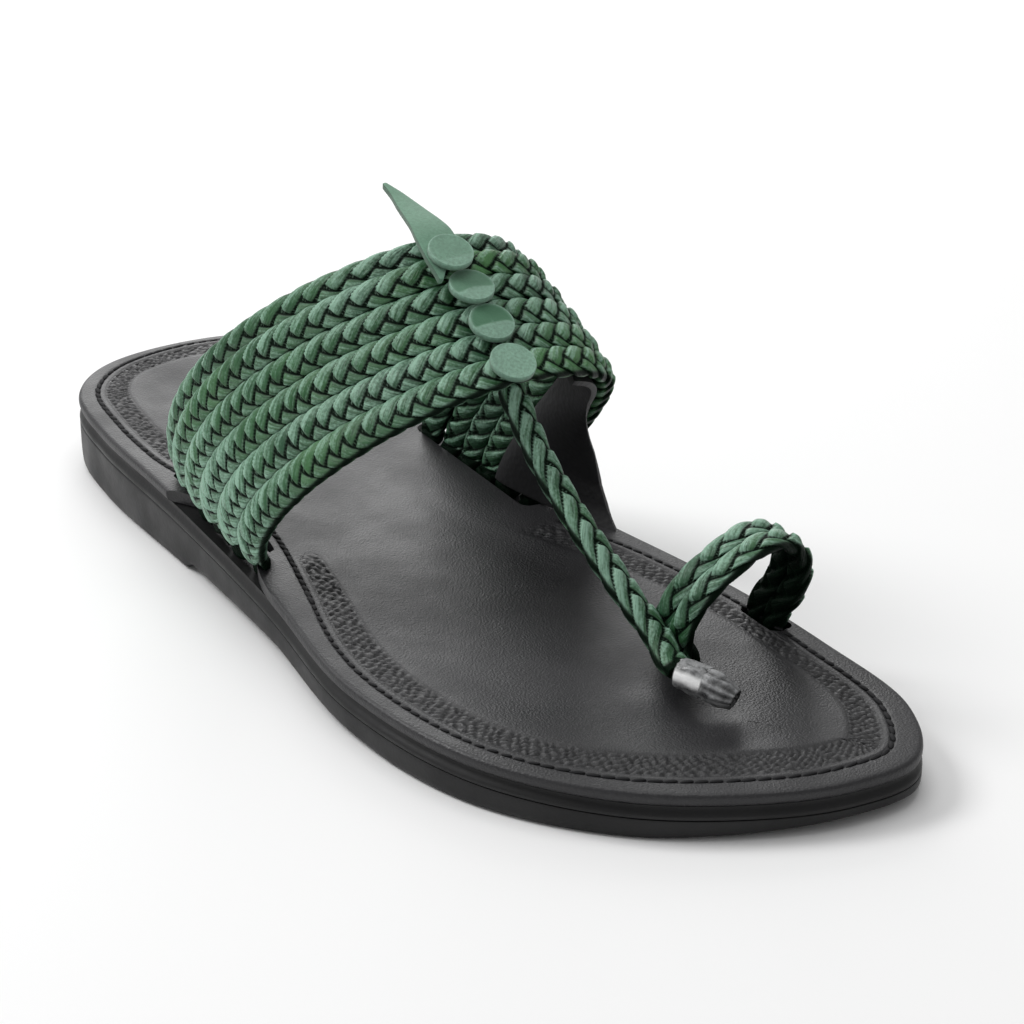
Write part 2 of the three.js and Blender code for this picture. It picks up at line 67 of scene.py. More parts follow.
# the rim's height and the underside's height: x, z
RIM_HEIGHT = [(0, 20.3), (70, 19.3), (130, 16.4), (190, 12.9), (230, 12.1), (262, 11.1), (285, 10.8)]
UNDERSIDE = [
    (0, 1.2), (7, 0), (95, 0), (99.5, 2.4), (150, 2.2), (185, 1.1), (210, 0), (266, 0), (276, 0.9),
    (285, 2.4),
]
SMOOTH_SPAN = 9
FIT_GAP = 0.3
FOOTBED_THICK = 3.0
MIDSOLE_THICK = 3.4
MIDSOLE_THIN_TOE = 0.6
FOOTBED_DISH = 0.9
OUTSOLE_GAP = 0.06
SPINE_FROM, SPINE_TO = 36, 238
SOLE_COLUMNS = 360

# edge shapes, bottom to top: inset from the outline, share of the layer's height
OUTSOLE_EDGE = [
    (2.2, 0), (1.3, 0.03), (0.65, 0.08), (0.3, 0.16), (0.12, 0.3), (0.04, 0.5), (0, 0.8), (0.01, 0.95),
    (0.08, 0.985), (0.3, 1),
]
MIDSOLE_EDGE = [
    (0.3, 0), (0.1, 0.035), (0.02, 0.1), (0, 0.2), (0.04, 0.32), (0.2, 0.42), (0.5, 0.54), (0.85, 0.68),
    (1.1, 0.82), (1.2, 1),
]
FOOTBED_EDGE = [
    (1.3, 0), (0.6, 0.05), (0.25, 0.16), (0.08, 0.34), (0.02, 0.55), (0.08, 0.74), (0.3, 0.89), (0.7, 0.97),
    (1.15, 1),
]

# lines on the footbed: distance along the outline from the heel (lateral side first), inset
STITCH_LINE = [
    (0, 3.3), (25, 4.8), (60, 5.3), (100, 5.2), (135, 14.4), (149, 13.4), (159, 11.7), (176, 8.4), (196, 5.6),
    (225, 4.9), (285, 4.9), (310, 5.8), (345, 6.5), (370, 6.6), (400, 6.0), (430, 5.3), (455, 4.9),
    (485, 5.4), (505, 9.2), (520, 12.4), (545, 12.4), (575, 6.5), (600, 5.3), (640, 4.7), (662, 3.4),
    (673.3, 3.3),
]
BORDER_GAP = 2.1
BORDER_INNER = [
    (0, 11.5), (27, 12.3), (47, 13.6), (84, 13.4), (115, 13.4), (135, 20), (150, 20), (165, 18.2),
    (184, 15.8), (208, 14.6), (230, 14.2), (265, 14.2), (285, 15), (307, 17.1), (321, 18.1), (337, 17.4),
    (353, 16.8),
    (375, 15.5), (393, 13.8), (407, 12.9), (430, 12.2), (455, 12.6), (480, 14.5), (505, 19), (520, 22),
    (545, 20), (575, 14), (600, 13.2), (640, 12.3), (673.3, 11.5),
]
# stretches of the border that are stamped, and that are stitched: from, to along the outline
STAMPED = [(-60, 104), (158, 508), (588, 733)]
STITCHED = [(-92, 108), (140, 506), (577, 673)]
BORDER_ROWS = 22
# across the stitch line, and across the border's outer and inner lines: offset, depth
STITCH_GROOVE = [(-1.1, 0), (-0.75, 0.04), (-0.45, 0.2), (0, 0.3), (0.45, 0.2), (0.75, 0.0), (1.0, -0.02)]
OUTER_GROOVE = [(-0.5, 0), (-0.2, 0.12), (0.0, 0.16)]
INNER_GROOVE = [(0, 0.14), (0.25, 0.1), (0.5, 0), (1.4, 0)]

# the dimple under the wrapped end: x, y, radius, depth
DIMPLE = (242, 10.5, 9, 0.7)

# the footbed's edge where the lateral cords hang over it, from the rear: x, y
NOTCH = [
    (80, -60), (84.5, -48), (88, -43.9), (92, -41.2), (97, -38.9), (103, -37.4), (111, -37.0), (119, -37.8),
    (125, -39.2), (129.6, -41.0), (132.4, -42.5), (135.4, -43.9), (139.2, -45.2), (144, -46.4),
    (149, -47.4), (154, -48.3), (160, -49.3), (166, -60),
]
# each slot for a cord's foot: x from, x to, y from, y to, corner radius
SLOTS = [
    (80.4, 98, -39.4, -35.0, 1.6), (84.6, 139, 27.4, 60, 3), (212.2, 226.6, 15.3, 21.1, 2),
    (207.2, 221.6, 42.5, 48.3, 2),
]
CUT_FROM, CUT_TO = -5, 35

# each cord: lateral foot x, y; crest x, y, z; medial foot x, y
BAND_CORDS = [
    (82.5, -37.2, 144.4, 1.9, 89.8, 91.2, 31.1), (92.0, -38.9, 150.7, 2.1, 85.9, 99.4, 31.6),
    (101.9, -40.4, 156.4, 3.2, 81.5, 107.7, 32.2), (112.3, -41.4, 162.9, 3.6, 77.4, 116.1, 32.9),
    (123.2, -42.0, 169.9, 3.4, 73.6, 124.7, 33.5), (134.4, -42.4, 177.1, 2.0, 70.3, 133.6, 34.2),
]
# arms of the curves that shape the first cord's rise and fall, and what the sixth cord's adds to them
FOOT_ARM_LATERAL, FOOT_ARM_LATERAL_GROWS = (-4.8, -10, 25.8), (0, 0, -14.4)
CREST_ARM_LATERAL, CREST_ARM_LATERAL_GROWS = (0, -37, -1.4), (0, 1.7, 0)
CREST_ARM_MEDIAL, CREST_ARM_MEDIAL_GROWS = (4.7, 44.6, -0.4), (0, -2.4, 0)
FOOT_ARM_MEDIAL, FOOT_ARM_MEDIAL_GROWS = (7.6, 1.6, 23.8), (0, 0, -0.8)
FIRST_CORD_TRIM = 1.4
FIRST_CORD_SINK = (0.7, 1.7)
FIRST_CORD_THINNER = 0.8
CORD_CLEAR = 0.8
FOOT_CLEAR = 0.9
FOOT_TURN_LATERAL = 0.4
FOOT_TURN_MEDIAL = 3.4
FOOT_TAPER = [0.16, 0.12, 0.12, 0.12, 0.16, 0.42]
FOOT_THIN = 0.4
# length over which a band cord's feet go dark with painted shade
FOOT_SHADE = 2.8
BAND_OVERLAP = [1.17, 1.08, 1.08, 1.08, 1.08, 1.08]
BAND_SEED, BAND_SEED_STEP = 40, 20
T_STRAP_SEED = 301
LOOP_SEED, LOOP_SEED_STEP = 400, 30
T_STRAP_PATH = [
    (173, 0.8, 71), (178, 1.0, 62.6), (187, 2.2, 51.2), (199, 4.1, 40.4), (213, 7.0, 28.6), (223.5, 9, 20.8),
    (229.5, 8.1, 18), (234.3, 8.1, 17.3),
]
T_STRAP_WIDTH, T_STRAP_THICK = 6.9, 5.0
LOOP_FOOT_LATERAL = (219.4, 18.2)
LOOP_FOOT_MEDIAL = (214.4, 45.4)
LOOP_CORD_PITCH = 6.3
LOOP_CORD_WIDTH, LOOP_CORD_THICK = 6.7, 4.6
# painted shade on the inner side of the toe loop's cords
LOOP_INNER_SHADE = 0.75
LOOP_TOP_Z = 40.7
LOOP_PROFILE = [
    # share across, share of rise, outward belly, forward lean
    (0, 0, 0, 0), (0, 0.1, 0, 0), (0, 0.24, -2.6, 0.8), (0, 0.44, -4.2, 4), (0.06, 0.69, -3.2, 7),
    (0.24, 0.9, -1.2, 9.8), (0.5, 1, 0, 11), (0.76, 0.93, 0.6, 11), (0.95, 0.72, 0.8, 9.5),
    (1, 0.45, 0.8, 6.2), (1, 0.24, 0.3, 2), (1, 0.1, 0, 0), (1, 0, 0, 0),
]

# centre of the frame's first disc in this datum
DATUM_DISC = (153.9, -1.6, 91.9)
# each disc: centre x, y, z, tilt about Y, where its painted shade starts (share of the radius), how dark it
# is
DISCS = {
    "disc_1": (154.1, -1.4, 91.3, 27, -0.45, 0.30),
    "disc_2": (160.8, 0, 84.8, 22, -0.22, 0.80),
    "disc_3": (168.9, 0.3, 78.6, 31, -0.08, 1.0),
    "disc_4": (180.6, -1.3, 73.2, 29, -0.75, 0.0),
}
DISC_RADIUS = 5.3
DISC_THICK = 1.5
DISC_ROUNDING = 0.28
SHARP_ANGLE = math.radians(50)
DISC_INSETS = (0.035, 0.05, 0.09, 0.14, 0.16, 0.16, 0.14, 0.12)
HORN_THICK = 1.6
HORN_CROWN = 0.35
HORN_NAP = 0.48
HORN = [
    # x, y, z, half width
    (158.2, -6.4, 86.6, 0.5), (155.6, -5.2, 88.3, 1.7), (152.6, -3.5, 90.2, 3.5), (149.5, -2.0, 91.7, 4.6),
    (146, -1.4, 93.2, 4.6), (142, -1.0, 94.3, 3.9), (137, -0.6, 95.1, 3.1), (131.5, -0.1, 95.9, 2.3),
    (126.5, 0.2, 96.9, 1.35), (121.9, -0.3, 98.2, 0.4),
]
FERRULE_PATH = [(234.6, 7.4, 17.2), (238.2, 9.0, 16.9), (241.5, 10.4, 16.5)]
FERRULE_RADII = (3.5, 3.75, 3.6)
KNOT_PATH = [(240.6, 10.0, 16.6), (242.8, 10.9, 16.2), (245.2, 12.0, 15.5), (247.4, 13.2, 14.6)]
KNOT_RADII = [(0, 3.3), (0.12, 3.55), (0.35, 3.65), (0.6, 3.4), (0.8, 2.9), (0.92, 2.5), (1, 2.1)]
KNOT_MOUTH_DEPTH = 2.2
# where the painted highlight runs round the wrap, and its half width
HIGHLIGHT_ANGLE = math.radians(163)
HIGHLIGHT_HALF = math.radians(21)
EAR_THICK = 1.5
EAR_MEDIAL_FRONT = [
    # share of its height; front edge x, y, z
    (0, 161.5, 40.4, 13.2), (0.09, 156.2, 40.9, 17.6), (0.2, 153.4, 40.3, 24), (0.38, 153.4, 38.6, 31.8),
    (0.52, 154.2, 37, 39),
]
# the steps along a band cord where each ear starts and ends
EAR_MEDIAL_SPAN = (185, 109)
EAR_LATERAL_SPAN = (6, 59.4)
EAR_LATERAL_ACROSS = (-5.6, -3.6, -1.8)
CORD_THICK = 5.2
EAR_GAP = 0.5
EAR_DEPTH = CORD_THICK / 2 + EAR_GAP + EAR_THICK / 2


def frame_shift():
    """Moves the drawing datum to the frame, from where the first disc's box is centred."""
    low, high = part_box("disc_1")
    return (np.array(low) + np.array(high)) / 2 / MM - np.array(DATUM_DISC)


SHIFT = frame_shift()


# ---- user settings --------------------------------------------------------------------------
def colour(name, description, default):
    return FloatVectorProperty(
        name=name, description=description, subtype="COLOR", size=3, min=0, max=1, default=default)


def length(name, description, default):
    return FloatProperty(
        name=name, description=description, subtype="DISTANCE", unit="LENGTH", default=default)


class SandalSoleSettings(bpy.types.PropertyGroup):
    rubber: colour("Rubber", "Colour of the outsole and midsole", (0.0062, 0.0062, 0.0066))
    leather: colour("Footbed leather", "Colour of the footbed's leather", (0.0108, 0.0106, 0.0120))
    thread: colour("Stitching", "Colour of the stitching thread", (0.006, 0.006, 0.007))
    stamp_depth: length("Stamp depth", "Depth of the stamped border", 0.00062)
    stitch_pitch: length("Stitch pitch", "Distance from one stitch to the next", 0.0033)
    stitch_length: length("Stitch length", "Length of thread that shows in a stitch", 0.0026)
    columns: IntProperty(name="Columns", description="Sections along each side of the footbed", default=760)


class SandalCordSettings(bpy.types.PropertyGroup):
    green: colour("Green", "Dye of the plaited cords", (0.022, 0.098, 0.042))
    bright: colour("Bright green", "Dye where the cords are yellower", (0.070, 0.235, 0.062))
    # the faded green is also the colour of the painted highlights on the cords
    faded_and_highlight: colour("Faded green", "Dye where it has worn to grey", (0.265, 0.460, 0.340))
    plait_pitch: length("Plait pitch", "Length along a cord from one V of the plait to the next", 0.0074)
    cord_width: length("Cord width", "Width at which the plait pitch holds", 0.0066)
    cord_thickness: length("Cord thickness", "Thickness of a plaited cord", 0.0052)
    cord_sides: IntProperty(name="Cord sides", description="Points round a cord", default=44)


class SandalTrimSettings(bpy.types.PropertyGroup):
    patch: colour("Patch leather", "Colour of the discs and horn", (0.190, 0.350, 0.255))
    # the darker patch colour is also the colour of the painted shade on the discs
    patch_dark: colour("Patch nap", "Darker nap on the discs", (0.045, 0.160, 0.080))
    wrap: colour("Wrap", "Colour of the strap's wrapped end", (0.300, 0.305, 0.310))
    ear: colour("Ear leather", "Colour of the flaps inside the band", (0.011, 0.011, 0.012))


class SandalStageSettings(bpy.types.PropertyGroup):
    floor: colour("Floor", "Colour of the floor", (0.90, 0.90, 0.90))
    lens: FloatProperty(
        name="Lens", description="Focal length of the camera", subtype="DISTANCE_CAMERA", default=106)


class SandalSettings(bpy.types.PropertyGroup):
    sole: PointerProperty(type=SandalSoleSettings, name="Sole", description="Sizes and colours of the sole")
    cords: PointerProperty(
        type=SandalCordSettings, name="Cords", description="Sizes and colours of the cords")
    trim: PointerProperty(type=SandalTrimSettings, name="Trim", description="Colours of the trim")
    stage: PointerProperty(type=SandalStageSettings, name="Stage", description="Floor and camera")


# ---- small helpers --------------------------------------------------------------------------
def table(rows, x):
    rows = np.array(rows, float)
    return np.interp(x, rows[:, 0], rows[:, 1])


def smooth_table(rows, x):
    return sum(table(rows, np.asarray(x) + k * SMOOTH_SPAN / 3) for k in range(-3, 4)) / 7


def rounded_table(rows, x, span):
    return sum(table(rows, np.asarray(x) + k * span / 4) for k in range(-4, 5)) / 9


def smoothstep(low, high, x):
    t = np.clip((np.asarray(x, float) - low) / (high - low), 0, 1)
    return t * t * (3 - 2 * t)


def sampled(at, steps, rows):
    """The rows given at rising steps, read at other places along them."""
    return np.stack([np.interp(at, steps, rows[:, i]) for i in range(rows.shape[1])], 1)


def arc_steps(points):
    return np.r_[0, np.cumsum(np.linalg.norm(np.diff(points, axis=0), axis=1))]


def unit(vectors):
    return vectors / np.maximum(np.linalg.norm(vectors, axis=-1, keepdims=True), 1e-9)


def rim_height(x):
    return smooth_table(RIM_HEIGHT, x)


def midsole_top(x):
    return rim_height(x) - FOOTBED_THICK - FIT_GAP


def midsole_bottom(x):
    return midsole_top(x) - MIDSOLE_THICK + MIDSOLE_THIN_TOE * np.clip((np.asarray(x) - 150) / 100, 0, 1)


def outsole_top(x):
    return midsole_bottom(x) - OUTSOLE_GAP


def underside(x):
    return table(UNDERSIDE, x)


def value_noise(seed, *coords):
    """Smooth noise from -1 to 1 at the given coordinates, the same on each run."""
    rng = np.random.default_rng(seed)
    lattice = rng.uniform(-1, 1, (32,) * len(coords))
    base = [np.floor(c).astype(int) for c in coords]
    part = [c - np.floor(c) for c in coords]
    part = [p * p * (3 - 2 * p) for p in part]
    total = 0
    for corner in range(2 ** len(coords)):
        bits = [(corner >> i) & 1 for i in range(len(coords))]
        weight = 1
        for bit, p in zip(bits, part):
            weight = weight * (p if bit else 1 - p)
        total = total + weight * lattice[tuple((b + bit) % 32 for b, bit in zip(base, bits))]
    return total


def new_object(name, points, faces):
    """A mesh object from millimetre points in the drawing datum, placed in the frame."""
    mesh = bpy.data.meshes.new(name)
    mesh.from_pydata(((np.asarray(points) + SHIFT) * MM).tolist(), [], faces)
    mesh.update()
    made = bpy.data.objects.new(name, mesh)
    bpy.context.scene.collection.objects.link(made)
    return made


def point_attribute(made, name, values):
    layer = made.data.attributes.new(name, "FLOAT", "POINT")
    layer.data.foreach_set("value", np.asarray(values, np.float32).ravel())


def tidy_mesh(made, distance=1e-7):
    """Merges doubled points, turns the faces outwards and shades the mesh smooth."""
    work = bmesh.new()
    work.from_mesh(made.data)
    bmesh.ops.remove_doubles(work, verts=work.verts, dist=distance)
    bmesh.ops.dissolve_degenerate(work, edges=work.edges, dist=distance)
    bmesh.ops.recalc_face_normals(work, faces=work.faces)
    if work.calc_volume(signed=True) < 0:
        bmesh.ops.reverse_faces(work, faces=work.faces)
    work.to_mesh(made.data)
    work.free()
    made.data.shade_smooth()


def select_only(*objects):
    bpy.ops.object.select_all(action="DESELECT")
    for one in objects:
        one.select_set(True)
    bpy.context.view_layer.objects.active = objects[0]


def smooth_by_angle(made, degrees):
    select_only(made)
    bpy.ops.object.shade_smooth_by_angle(angle=math.radians(degrees))


def apply_modifier(made, kind, **values):
    modifier = made.modifiers.new(kind.title(), kind)
    for key, value in values.items():
        setattr(modifier, key, value)
    select_only(made)
    bpy.ops.object.modifier_apply(modifier=modifier.name)


def dress(made, material, slot, *stands_for):
    made.data.materials.clear()
    made.data.materials.append(material)
    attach(made, "root")
    if stands_for:
        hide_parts(*stands_for)
    return made


# ---- materials ------------------------------------------------------------------------------
class MaterialSheet:
    """A material under construction: its shader, and short ways to add and join nodes."""

    def __init__(self, name, **sockets):
        self.material = bpy.data.materials.new(name)
        self.material.use_nodes = True
        self.nodes = self.material.node_tree.nodes
        self.links = self.material.node_tree.links
        self.shader = next(n for n in self.nodes if n.type == "BSDF_PRINCIPLED")
        for key, value in sockets.items():
            socket = self.shader.inputs[key.replace("_", " ").title().replace("Ior", "IOR")]
            socket.default_value = value

    def add(self, kind, inputs=None, **values):
        node = self.nodes.new(kind)
        for key, value in values.items():
            setattr(node, key, value)
        for key, value in (inputs or {}).items():
            if hasattr(value, "is_output"):
                self.links.new(value, node.inputs[key])
            else:
                node.inputs[key].default_value = value
        return node

    def noise(self, coords, scale, detail=4.0, roughness=0.55):
        inputs = {"Vector": coords, "Scale": scale, "Detail": detail, "Roughness": roughness}
        return self.add("ShaderNodeTexNoise", inputs).outputs["Fac"]

    def voronoi(self, coords, scale):
        return self.add("ShaderNodeTexVoronoi", {"Vector": coords, "Scale": scale}).outputs["Distance"]

    def object_coords(self, scale=(1, 1, 1)):
        coords = self.add("ShaderNodeTexCoord").outputs["Object"]
        return self.add("ShaderNodeMapping", {"Vector": coords, "Scale": scale}).outputs["Vector"]

    def uv_coords(self, scale=(1, 1, 1)):
        coords = self.add("ShaderNodeUVMap", uv_map="strand").outputs["UV"]
        return self.add("ShaderNodeMapping", {"Vector": coords, "Scale": scale}).outputs["Vector"]

    def attribute(self, name):
        return self.add("ShaderNodeAttribute", attribute_name=name).outputs["Fac"]

    def span(self, value, low, high, to_low=0.0, to_high=1.0):
        """Maps low..high of a value smoothly to to_low..to_high."""
        node = self.add(
            "ShaderNodeMapRange",
            {"Value": value, "From Min": low, "From Max": high, "To Min": to_low, "To Max": to_high},
            interpolation_type="SMOOTHSTEP")
        return node.outputs["Result"]

    def mix(self, factor, first, second):
        """Blends two colours by a factor that varies over the surface."""
        node = self.add("ShaderNodeMix", data_type="RGBA")
        for index, value in ((0, factor), (6, first), (7, second)):
            if hasattr(value, "is_output"):
                self.links.new(value, node.inputs[index])
            else:
                node.inputs[index].default_value = (*value, 1)
        return node.outputs[2]

    def toned(self, factor, colour, darker, lighter):
        return self.mix(factor, scaled(colour, darker), scaled(colour, lighter))

    def maths(self, operation, *values):
        node = self.add("ShaderNodeMath", operation=operation)
        for socket, value in zip(node.inputs, values):
            if hasattr(value, "is_output"):
                self.links.new(value, socket)
            else:
                socket.default_value = value
        return node.outputs[0]

    def bump(self, height, strength, distance, below=None):
        inputs = {"Height": height, "Strength": strength, "Distance": distance}
        if below is not None:
            inputs["Normal"] = below
        return self.add("ShaderNodeBump", inputs).outputs["Normal"]

    def join(self, **sockets):
        for key, value in sockets.items():
            self.links.new(value, self.shader.inputs[key.replace("_", " ").title()])
        return self.material


def scaled(rgb, factor):
    return tuple(min(1.0, c * factor) for c in rgb)


def rubber_material(settings):
    """Moulded rubber, clouded, with a fine pale speckle."""
    sheet = MaterialSheet("rubber_finish", roughness=0.5, specular_ior_level=0.36)
    coords = sheet.object_coords()
    speckle = sheet.noise(coords, 900, 3)
    cloud = sheet.noise(coords, 28, 4)
    tone = sheet.toned(sheet.span(cloud, 0.35, 0.65), settings.rubber, 0.82, 1.22)
    tone = sheet.mix(sheet.span(speckle, 0.58, 0.72, 0, 0.5), tone, scaled(settings.rubber, 1.9))
    rough = sheet.span(sheet.noise(coords, 60, 5), 0.3, 0.7, 0.42, 0.60)
    normal = sheet.bump(speckle, 0.22, 0.00025)
    return sheet.join(base_color=tone, roughness=rough, normal=normal)


def footbed_material(settings):
    """Black leather with a fine grain, with painted shade darkening the stamping and its grooves, and a
    painted highlight making the rim paler.
    """
    sheet = MaterialSheet("footbed_finish", roughness=0.46, specular_ior_level=0.5)
    coords = sheet.object_coords()
    grain = sheet.voronoi(coords, 1700.0)
    fine = sheet.noise(coords, 2200, 2)
    cloud = sheet.noise(coords, 22, 5)
    streak = sheet.noise(sheet.object_coords((1, 0.3, 1)), 160, 4)
    tone = sheet.toned(sheet.span(cloud, 0.3, 0.7), settings.leather, 0.8, 1.25)
    tone = sheet.mix(sheet.span(streak, 0.55, 0.75, 0, 0.35), tone, scaled(settings.leather, 1.7))
    tone = sheet.mix(sheet.span(fine, 0.60, 0.70, 0, 0.55), tone, scaled(settings.leather, 2.6))
    # painted shade: darker in the stamping's hollows and in the stitch and border grooves; the same mask also
    # makes them rougher
    tone = sheet.mix(sheet.attribute("stamp_shade"), tone, scaled(settings.leather, 0.14))
    # painted highlight: paler along the upper half of the rounded rim
    tone = sheet.mix(sheet.attribute("edge"), tone, scaled(settings.leather, 1.5))
    rough = sheet.span(sheet.noise(coords, 45, 5), 0.3, 0.7, 0.40, 0.54)
    rough = sheet.maths("ADD", rough, sheet.maths("MULTIPLY", sheet.attribute("stamp_shade"), 0.3))
    normal = sheet.bump(grain, 0.25, 0.00025)
    normal = sheet.bump(fine, 0.35, 0.0003, normal)
    normal = sheet.bump(streak, 0.12, 0.0006, normal)
    return sheet.join(base_color=tone, roughness=rough, normal=normal)


def thread_material(settings):
    """Matt black thread."""
    sheet = MaterialSheet("black_thread", roughness=0.75, specular_ior_level=0.3)
    coords = sheet.object_coords()
    fuzz = sheet.noise(coords, 2500, 3)
    tone = sheet.toned(fuzz, settings.thread, 0.6, 1.6)
    return sheet.join(base_color=tone, normal=sheet.bump(fuzz, 0.4, 0.0002))


def cord_material(settings):
    """Dyed leather strands: lines along each strand, paler where faded and worn, with a painted highlight on
    top, and near black with painted shade where they go under.
    """
    sheet = MaterialSheet("cord_dye", roughness=0.42, specular_ior_level=0.5)
    lines = sheet.noise(sheet.uv_coords((0.10, 1.0, 1)), 1.5, 4, 0.6)
    fibres = sheet.noise(sheet.uv_coords((0.22, 2.4, 1)), 1.6, 3, 0.6)
    cloud = sheet.noise(sheet.object_coords(), 55, 4)
    speckle = sheet.noise(sheet.object_coords(), 1500, 2)
    tone = sheet.mix(sheet.attribute("warm"), settings.green, settings.bright)
    tone = sheet.mix(sheet.span(cloud, 0.35, 0.7, 0, 0.4), tone, scaled(settings.green, 0.5))
    # the dye's fading to grey, with painted highlights on the leaves and on one side of each cord
    fade_and_highlight = sheet.maths("ADD", sheet.span(lines, 0.32, 0.68, -0.30, 0.30), sheet.attribute("fade_and_highlight"))
    fade_and_highlight = sheet.maths("ADD", sheet.span(speckle, 0.35, 0.65, -0.14, 0.14), fade_and_highlight)
    tone = sheet.mix(sheet.span(fade_and_highlight, 0.0, 1.0), tone, settings.faded_and_highlight)
    tone = sheet.mix(sheet.span(fibres, 0.54, 0.68, 0, 0.6), tone, scaled(settings.green, 0.30))
    # painted shade: near black where strands go under, along the cords' sides, on the loop cords' inner side
    # and at the feet
    tone = sheet.mix(sheet.span(sheet.attribute("cord_shade"), -0.15, 0.75), tone, scaled(settings.green, 0.08))
    rough = sheet.span(lines, 0.3, 0.7, 0.36, 0.56)
    shine = sheet.span(sheet.attribute("cord_shade"), 0.0, 0.9, 0.5, 0.04)
    sheet.links.new(shine, sheet.shader.inputs["Specular IOR Level"])
    normal = sheet.bump(lines, 0.5, 0.0010)
    normal = sheet.bump(fibres, 0.45, 0.0006, normal)
    normal = sheet.bump(speckle, 0.25, 0.0004, normal)
    return sheet.join(base_color=tone, roughness=rough, normal=normal)


def patch_material(settings):
    """Green leather with a soft napped face, darker cut edges, and painted shade on the discs' upper parts.
    """
    sheet = MaterialSheet("patch_finish", roughness=0.72, specular_ior_level=0.3)
    sheet.shader.inputs["Sheen Weight"].default_value = 0.25
    sheet.shader.inputs["Sheen Roughness"].default_value = 0.6
    coords = sheet.object_coords()
    nap_and_shade = sheet.noise(coords, 1400, 4, 0.7)
    cloud = sheet.noise(coords, 130, 4)
    tone = sheet.toned(sheet.span(nap_and_shade, 0.3, 0.7), settings.patch, 0.72, 1.12)
    tone = sheet.mix(sheet.span(cloud, 0.4, 0.7, 0, 0.4), tone, scaled(settings.patch, 0.7))
    # painted shade over the discs' upper parts; on the horn the same attribute gives an even darker tone
    tone = sheet.mix(sheet.attribute("nap_and_shade"), tone, settings.patch_dark)
    tone = sheet.mix(sheet.attribute("cut"), tone, scaled(settings.patch_dark, 0.45))
    return sheet.join(base_color=tone, normal=sheet.bump(nap_and_shade, 0.35, 0.0003))


def wrap_material(settings):
    """Shiny grey tape: crinkled, with a smooth band painted bright as a highlight, and painted shade at its
    opening and ends.
    """
    sheet = MaterialSheet("wrap_finish", roughness=0.3, specular_ior_level=0.6)
    coords = sheet.object_coords()
    crinkle = sheet.noise(coords, 520, 4, 0.65)
    tone = sheet.mix(sheet.span(crinkle, 0.3, 0.7), scaled(settings.wrap, 0.28), settings.wrap)
    # painted highlight: near white along the smooth band
    tone = sheet.mix(sheet.attribute("band"), tone, scaled(settings.wrap, 3.4))
    # painted shade: near black in the knot's opening, in its pleats' hollows and at the wrap's ends
    tone = sheet.mix(sheet.attribute("wrap_shade"), tone, scaled(settings.wrap, 0.05))
    rough = sheet.span(crinkle, 0.3, 0.7, 0.25, 0.5)
    return sheet.join(base_color=tone, roughness=rough, normal=sheet.bump(crinkle, 0.4, 0.0006))


def ear_material(settings):
    """Dark flat leather with paler cut edges."""
    sheet = MaterialSheet("ear_leather", roughness=0.6, specular_ior_level=0.35)
    coords = sheet.object_coords()
    grain = sheet.voronoi(coords, 800.0)
    cloud = sheet.noise(coords, 60, 4)
    tone = sheet.toned(cloud, settings.ear, 0.6, 1.5)
    tone = sheet.mix(sheet.attribute("cut"), tone, scaled(settings.ear, 3.2))
    return sheet.join(base_color=tone, normal=sheet.bump(grain, 0.2, 0.0004))


# ---- sole -----------------------------------------------------------------------------------
def catmull(points, per_span, closed):
    """Centripetal Catmull-Rom curve through the points."""
    points = [np.array(point, float) for point in points]
    count = len(points)
    spans = count if closed else count - 1
    if closed:
        control = lambda i: points[i % count]
    else:
        padded = [2 * points[0] - points[1], *points, 2 * points[-1] - points[-2]]
        control = lambda i: padded[i + 1]
    made = []
    for i in range(spans):
        p = [control(i + j - 1) for j in range(4)]
        knots = np.cumsum([0] + [np.linalg.norm(b - a) ** 0.5 for a, b in zip(p, p[1:])])
        t = np.linspace(knots[1], knots[2], per_span, endpoint=False)[:, None]
        blend = lambda a, b, ta, tb: ((tb - t) * a + (t - ta) * b) / (tb - ta)
        first = [blend(p[j], p[j + 1], knots[j], knots[j + 1]) for j in range(3)]
        second = [blend(first[j], first[j + 1], knots[j], knots[j + 2]) for j in range(2)]
        made.append(blend(second[0], second[1], knots[1], knots[2]))
    if not closed:
        made.append(np.array([points[-1]]))
    return np.concatenate(made)


def resample(points, count):
    """The points of a line at equal steps along it."""
    steps = arc_steps(points)
    return sampled(np.linspace(0, steps[-1], count), steps, points)


def smooth_line(points, per_span, count):
    """A smooth open line through the points, as a number of points at equal steps."""
    return resample(catmull(points, per_span, closed=False), count)


